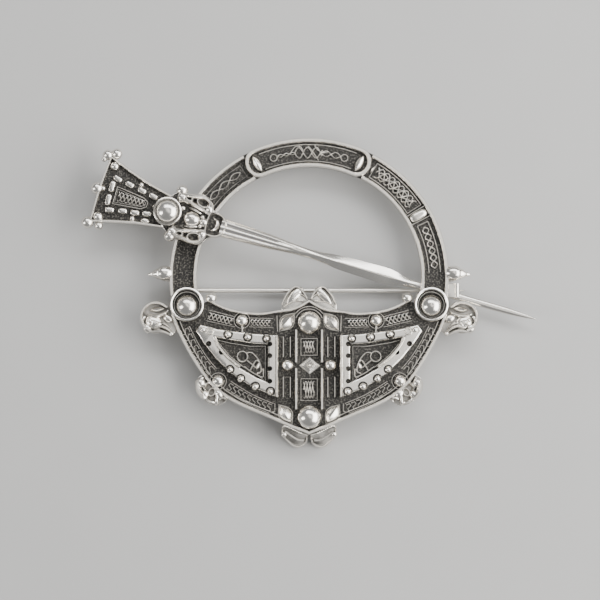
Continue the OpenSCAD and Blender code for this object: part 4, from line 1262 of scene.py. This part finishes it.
shaft = {
    # Along, half width, half thickness
    "rows": [(-17.6, 1.75, 0.95), (-14.1, 1.60, 0.92), (-11.3, 1.47, 0.88), (-8.5, 1.32, 0.82),
             (-5.6, 1.06, 0.76), (-2.9, 0.87, 0.72), (0.3, 0.87, 0.68), (2.7, 1.08, 0.64),
             (5.0, 1.32, 0.60), (9.5, 1.42, 0.54), (12.4, 1.52, 0.48), (14.2, 1.42, 0.45),
             (16.2, 0.96, 0.45), (18.6, 0.70, 0.45), (25.2, 0.65, 0.43), (34.9, 0.60, 0.40),
             (39.0, 0.36, 0.27), (41.2, 0.06, 0.06)],
    "start": -17.6, "levelFrom": 14.2, "highest": 5.55, "lowest": 2.1, "around": 88}


# Height of the shaft's middle: it runs down from the collar, then level behind the plate
def shaftHeight(along):
    share = (along - shaft["start"]) / (shaft["levelFrom"] - shaft["start"])
    return max(shaft["lowest"], shaft["highest"] + (shaft["lowest"] - shaft["highest"]) * share)


def between(value):
    return min(max(value, 0), 1)


# Shaft: three ridges near the collar run out into one ridged leaf, then a round point
def pinShaft():
    rows, around = smoothLine(shaft["rows"], 4), shaft["around"]
    last = len(rows) - 1
    piece = primitive(bpy.ops.mesh.primitive_grid_add, x_subdivisions=last, y_subdivisions=around, size=2)
    for point in piece.data.vertices:
        along, wide, thick = rows[round((point.co.x + 1) / 2 * last)]
        c, s = polar(1, -360 * round((point.co.y + 1) / 2 * around) / around)
        gothic = between((along + 3) / 6) * between((20 - along) / 4)
        ribbed = between((-3 - along) / 5)
        across = math.copysign(abs(c) ** 0.85, c)
        up = (1 - gothic) * s + gothic * math.copysign(1 - abs(across) ** 1.15, s)
        if s > 0:
            ridge = 2 * abs((1.6 * across + 0.08) % 1 - 0.5)
            up += ribbed * 0.3 * (ridge - 0.5) * min(4 * (1 - abs(across)), 1)
        point.co = (along, across * wide, shaftHeight(along) + up * thick)
    closeUp(piece)
    bpy.ops.object.mode_set(mode="EDIT")
    bpy.ops.mesh.select_all(action="DESELECT")
    bpy.ops.mesh.select_non_manifold(extend=False)
    bpy.ops.mesh.fill()
    bpy.ops.mesh.select_all(action="SELECT")
    bpy.ops.mesh.normals_make_consistent(inside=False)
    bpy.ops.object.mode_set(mode="OBJECT")
    return allBright(piece)


def pinStrap():
    gap, thick, soft = pin["strapGap"], pin["strapThick"], pin["strapEdge"]
    inner, outer = hoop["inner"] - gap, hoop["outer"] + gap
    low, high = heights["back"] - gap - thick, heights["rim"] + gap + pin["overRim"]
    profile = [(inner - thick + soft, low), (outer + thick - soft, low), (outer + thick, low + soft),
               (outer + thick, high), (outer, high), (outer, low + thick), (inner, low + thick),
               (inner, high), (inner - thick, high), (inner - thick, low + soft)]
    at, half = pin["strapAt"], pin["strapHalf"]
    return allBright(turned(profile, start=at - half, end=at + half, steps=14, looped=True))


pinHeadPiece = joined("pin_head", pinHead())
pinNeckPiece = joined("pin_neck", pinNeck())
pinShaftPiece = joined("pin_shaft", [pinShaft()])
for piece in (pinHeadPiece, pinNeckPiece, pinShaftPiece):
    piece.data.transform(pinTurn)
pinStrapPiece = joined("pin_strap", [pinStrap()])
print("long pin made")

# Everything takes its silver and its place

for piece in (hoopBandPiece, crescentPlatePiece, hoopRimPiece, crescentRimPiece, triangleFramePiece,
              stripRimPiece, studPiece, stripMiddlePiece, cupPiece, conePiece, backPiece):
    settle(piece, "brooch", (polishedSilver,))
for piece in (hoopReliefPiece, triangleReliefPiece, plateReliefPiece):
    settle(piece, "brooch", (wornRelief,))
for piece in headPieces:
    settle(piece, "brooch", (polishedSilver,))
for piece in (pinHeadPiece, pinNeckPiece, pinShaftPiece, pinStrapPiece):
    settle(piece, "pin", (polishedSilver,))
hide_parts("brooch_body")
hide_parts("long_pin")
for nodeName in ("back_stem", "stem_rivet"):
    node = frame["nodes"][nodeName]
    node.data.materials.clear()
    node.data.materials.append(plainWire)
for helper in list(patterns.values()) + list(sectionCurves.values()):
    bpy.data.objects.remove(helper)
print("pieces settled")

# Floor, light and camera

studio = {"floor": (0.395, 0.392, 0.386, 1), "sky": (0.42, 0.43, 0.44, 1), "skyStrength": 0.72,
          "cameraDistance": 0.6, "cameraElevation": 84.0, "frameWidth": 0.1072,
          "look": (-1.62, -4.12, 4.3), "floorSize": 1.6, "floorDrop": 0.0002, "floorShade": 0.95,
          # Lamps: name, place, size, power, tint
          "lamps": (("keyRight", (0.4, -0.02, 0.26), (0.66, 0.4), 7.2, (1, 0.99, 0.97)),
                    ("topFill", (0.04, 0.38, 0.4), (0.62, 0.2), 2.5, (0.98, 0.99, 1)),
                    ("overhead", (0.1, 0.09, 0.85), (0.62, 0.34), 0.78, (1, 0.985, 0.95)),
                    ("leftFill", (-0.45, -0.1, 0.25), (0.12, 0.25), 1.1, (1, 0.98, 0.95)))}


def floorPlane():
    floor = primitive(bpy.ops.mesh.primitive_plane_add, size=studio["floorSize"],
                      location=(0, 0, -studio["floorDrop"]))
    floor.name = "floor"
    material = bpy.data.materials.new("paleFloor")
    material.use_nodes = True
    tree = material.node_tree
    shader = tree.nodes["Principled BSDF"]
    shader.inputs["Roughness"].default_value = 0.8
    grain = tree.nodes.new("ShaderNodeTexNoise")
    grain.inputs["Scale"].default_value = 60
    coords = tree.nodes.new("ShaderNodeTexCoord")
    tint = tree.nodes.new("ShaderNodeMix")
    tint.data_type = "RGBA"
    tint.inputs["A"].default_value = studio["floor"]
    tint.inputs["B"].default_value = tuple(studio["floorShade"] * v for v in studio["floor"][:3]) + (1,)
    tree.links.new(coords.outputs["Object"], grain.inputs["Vector"])
    tree.links.new(grain.outputs["Fac"], tint.inputs["Factor"])
    tree.links.new(tint.outputs["Result"], shader.inputs["Base Color"])
    floor.data.materials.append(material)


def softLight(name, place, size, power, tint):
    light = bpy.data.lights.new(name, "AREA")
    light.shape = "RECTANGLE"
    light.size, light.size_y = size
    light.energy = power
    light.color = tint
    lamp = addObject(name, light)
    lamp.location = place
    lamp.rotation_euler = (-Vector(place)).to_track_quat("-Z", "Y").to_euler()


def lightsAndCamera():
    world = bpy.data.worlds.new("studio")
    bpy.context.scene.world = world
    world.use_nodes = True
    sky = world.node_tree.nodes["Background"]
    sky.inputs["Color"].default_value = studio["sky"]
    sky.inputs["Strength"].default_value = studio["skyStrength"]
    for lamp in studio["lamps"]:
        softLight(*lamp)
    camera = bpy.data.cameras.new("camera")
    eye = addObject("camera", camera)
    elevation = math.radians(studio["cameraElevation"])
    target = toFrame @ Vector(studio["look"])
    away = Vector((0, -math.cos(elevation), math.sin(elevation))) * studio["cameraDistance"]
    eye.location = target + away
    eye.rotation_euler = (-away).to_track_quat("-Z", "Y").to_euler()
    camera.angle = 2 * math.atan(studio["frameWidth"] / 2 / studio["cameraDistance"])
    camera.clip_start = 0.01
    bpy.context.scene.camera = eye


floorPlane()
lightsAndCamera()
print("studio ready")
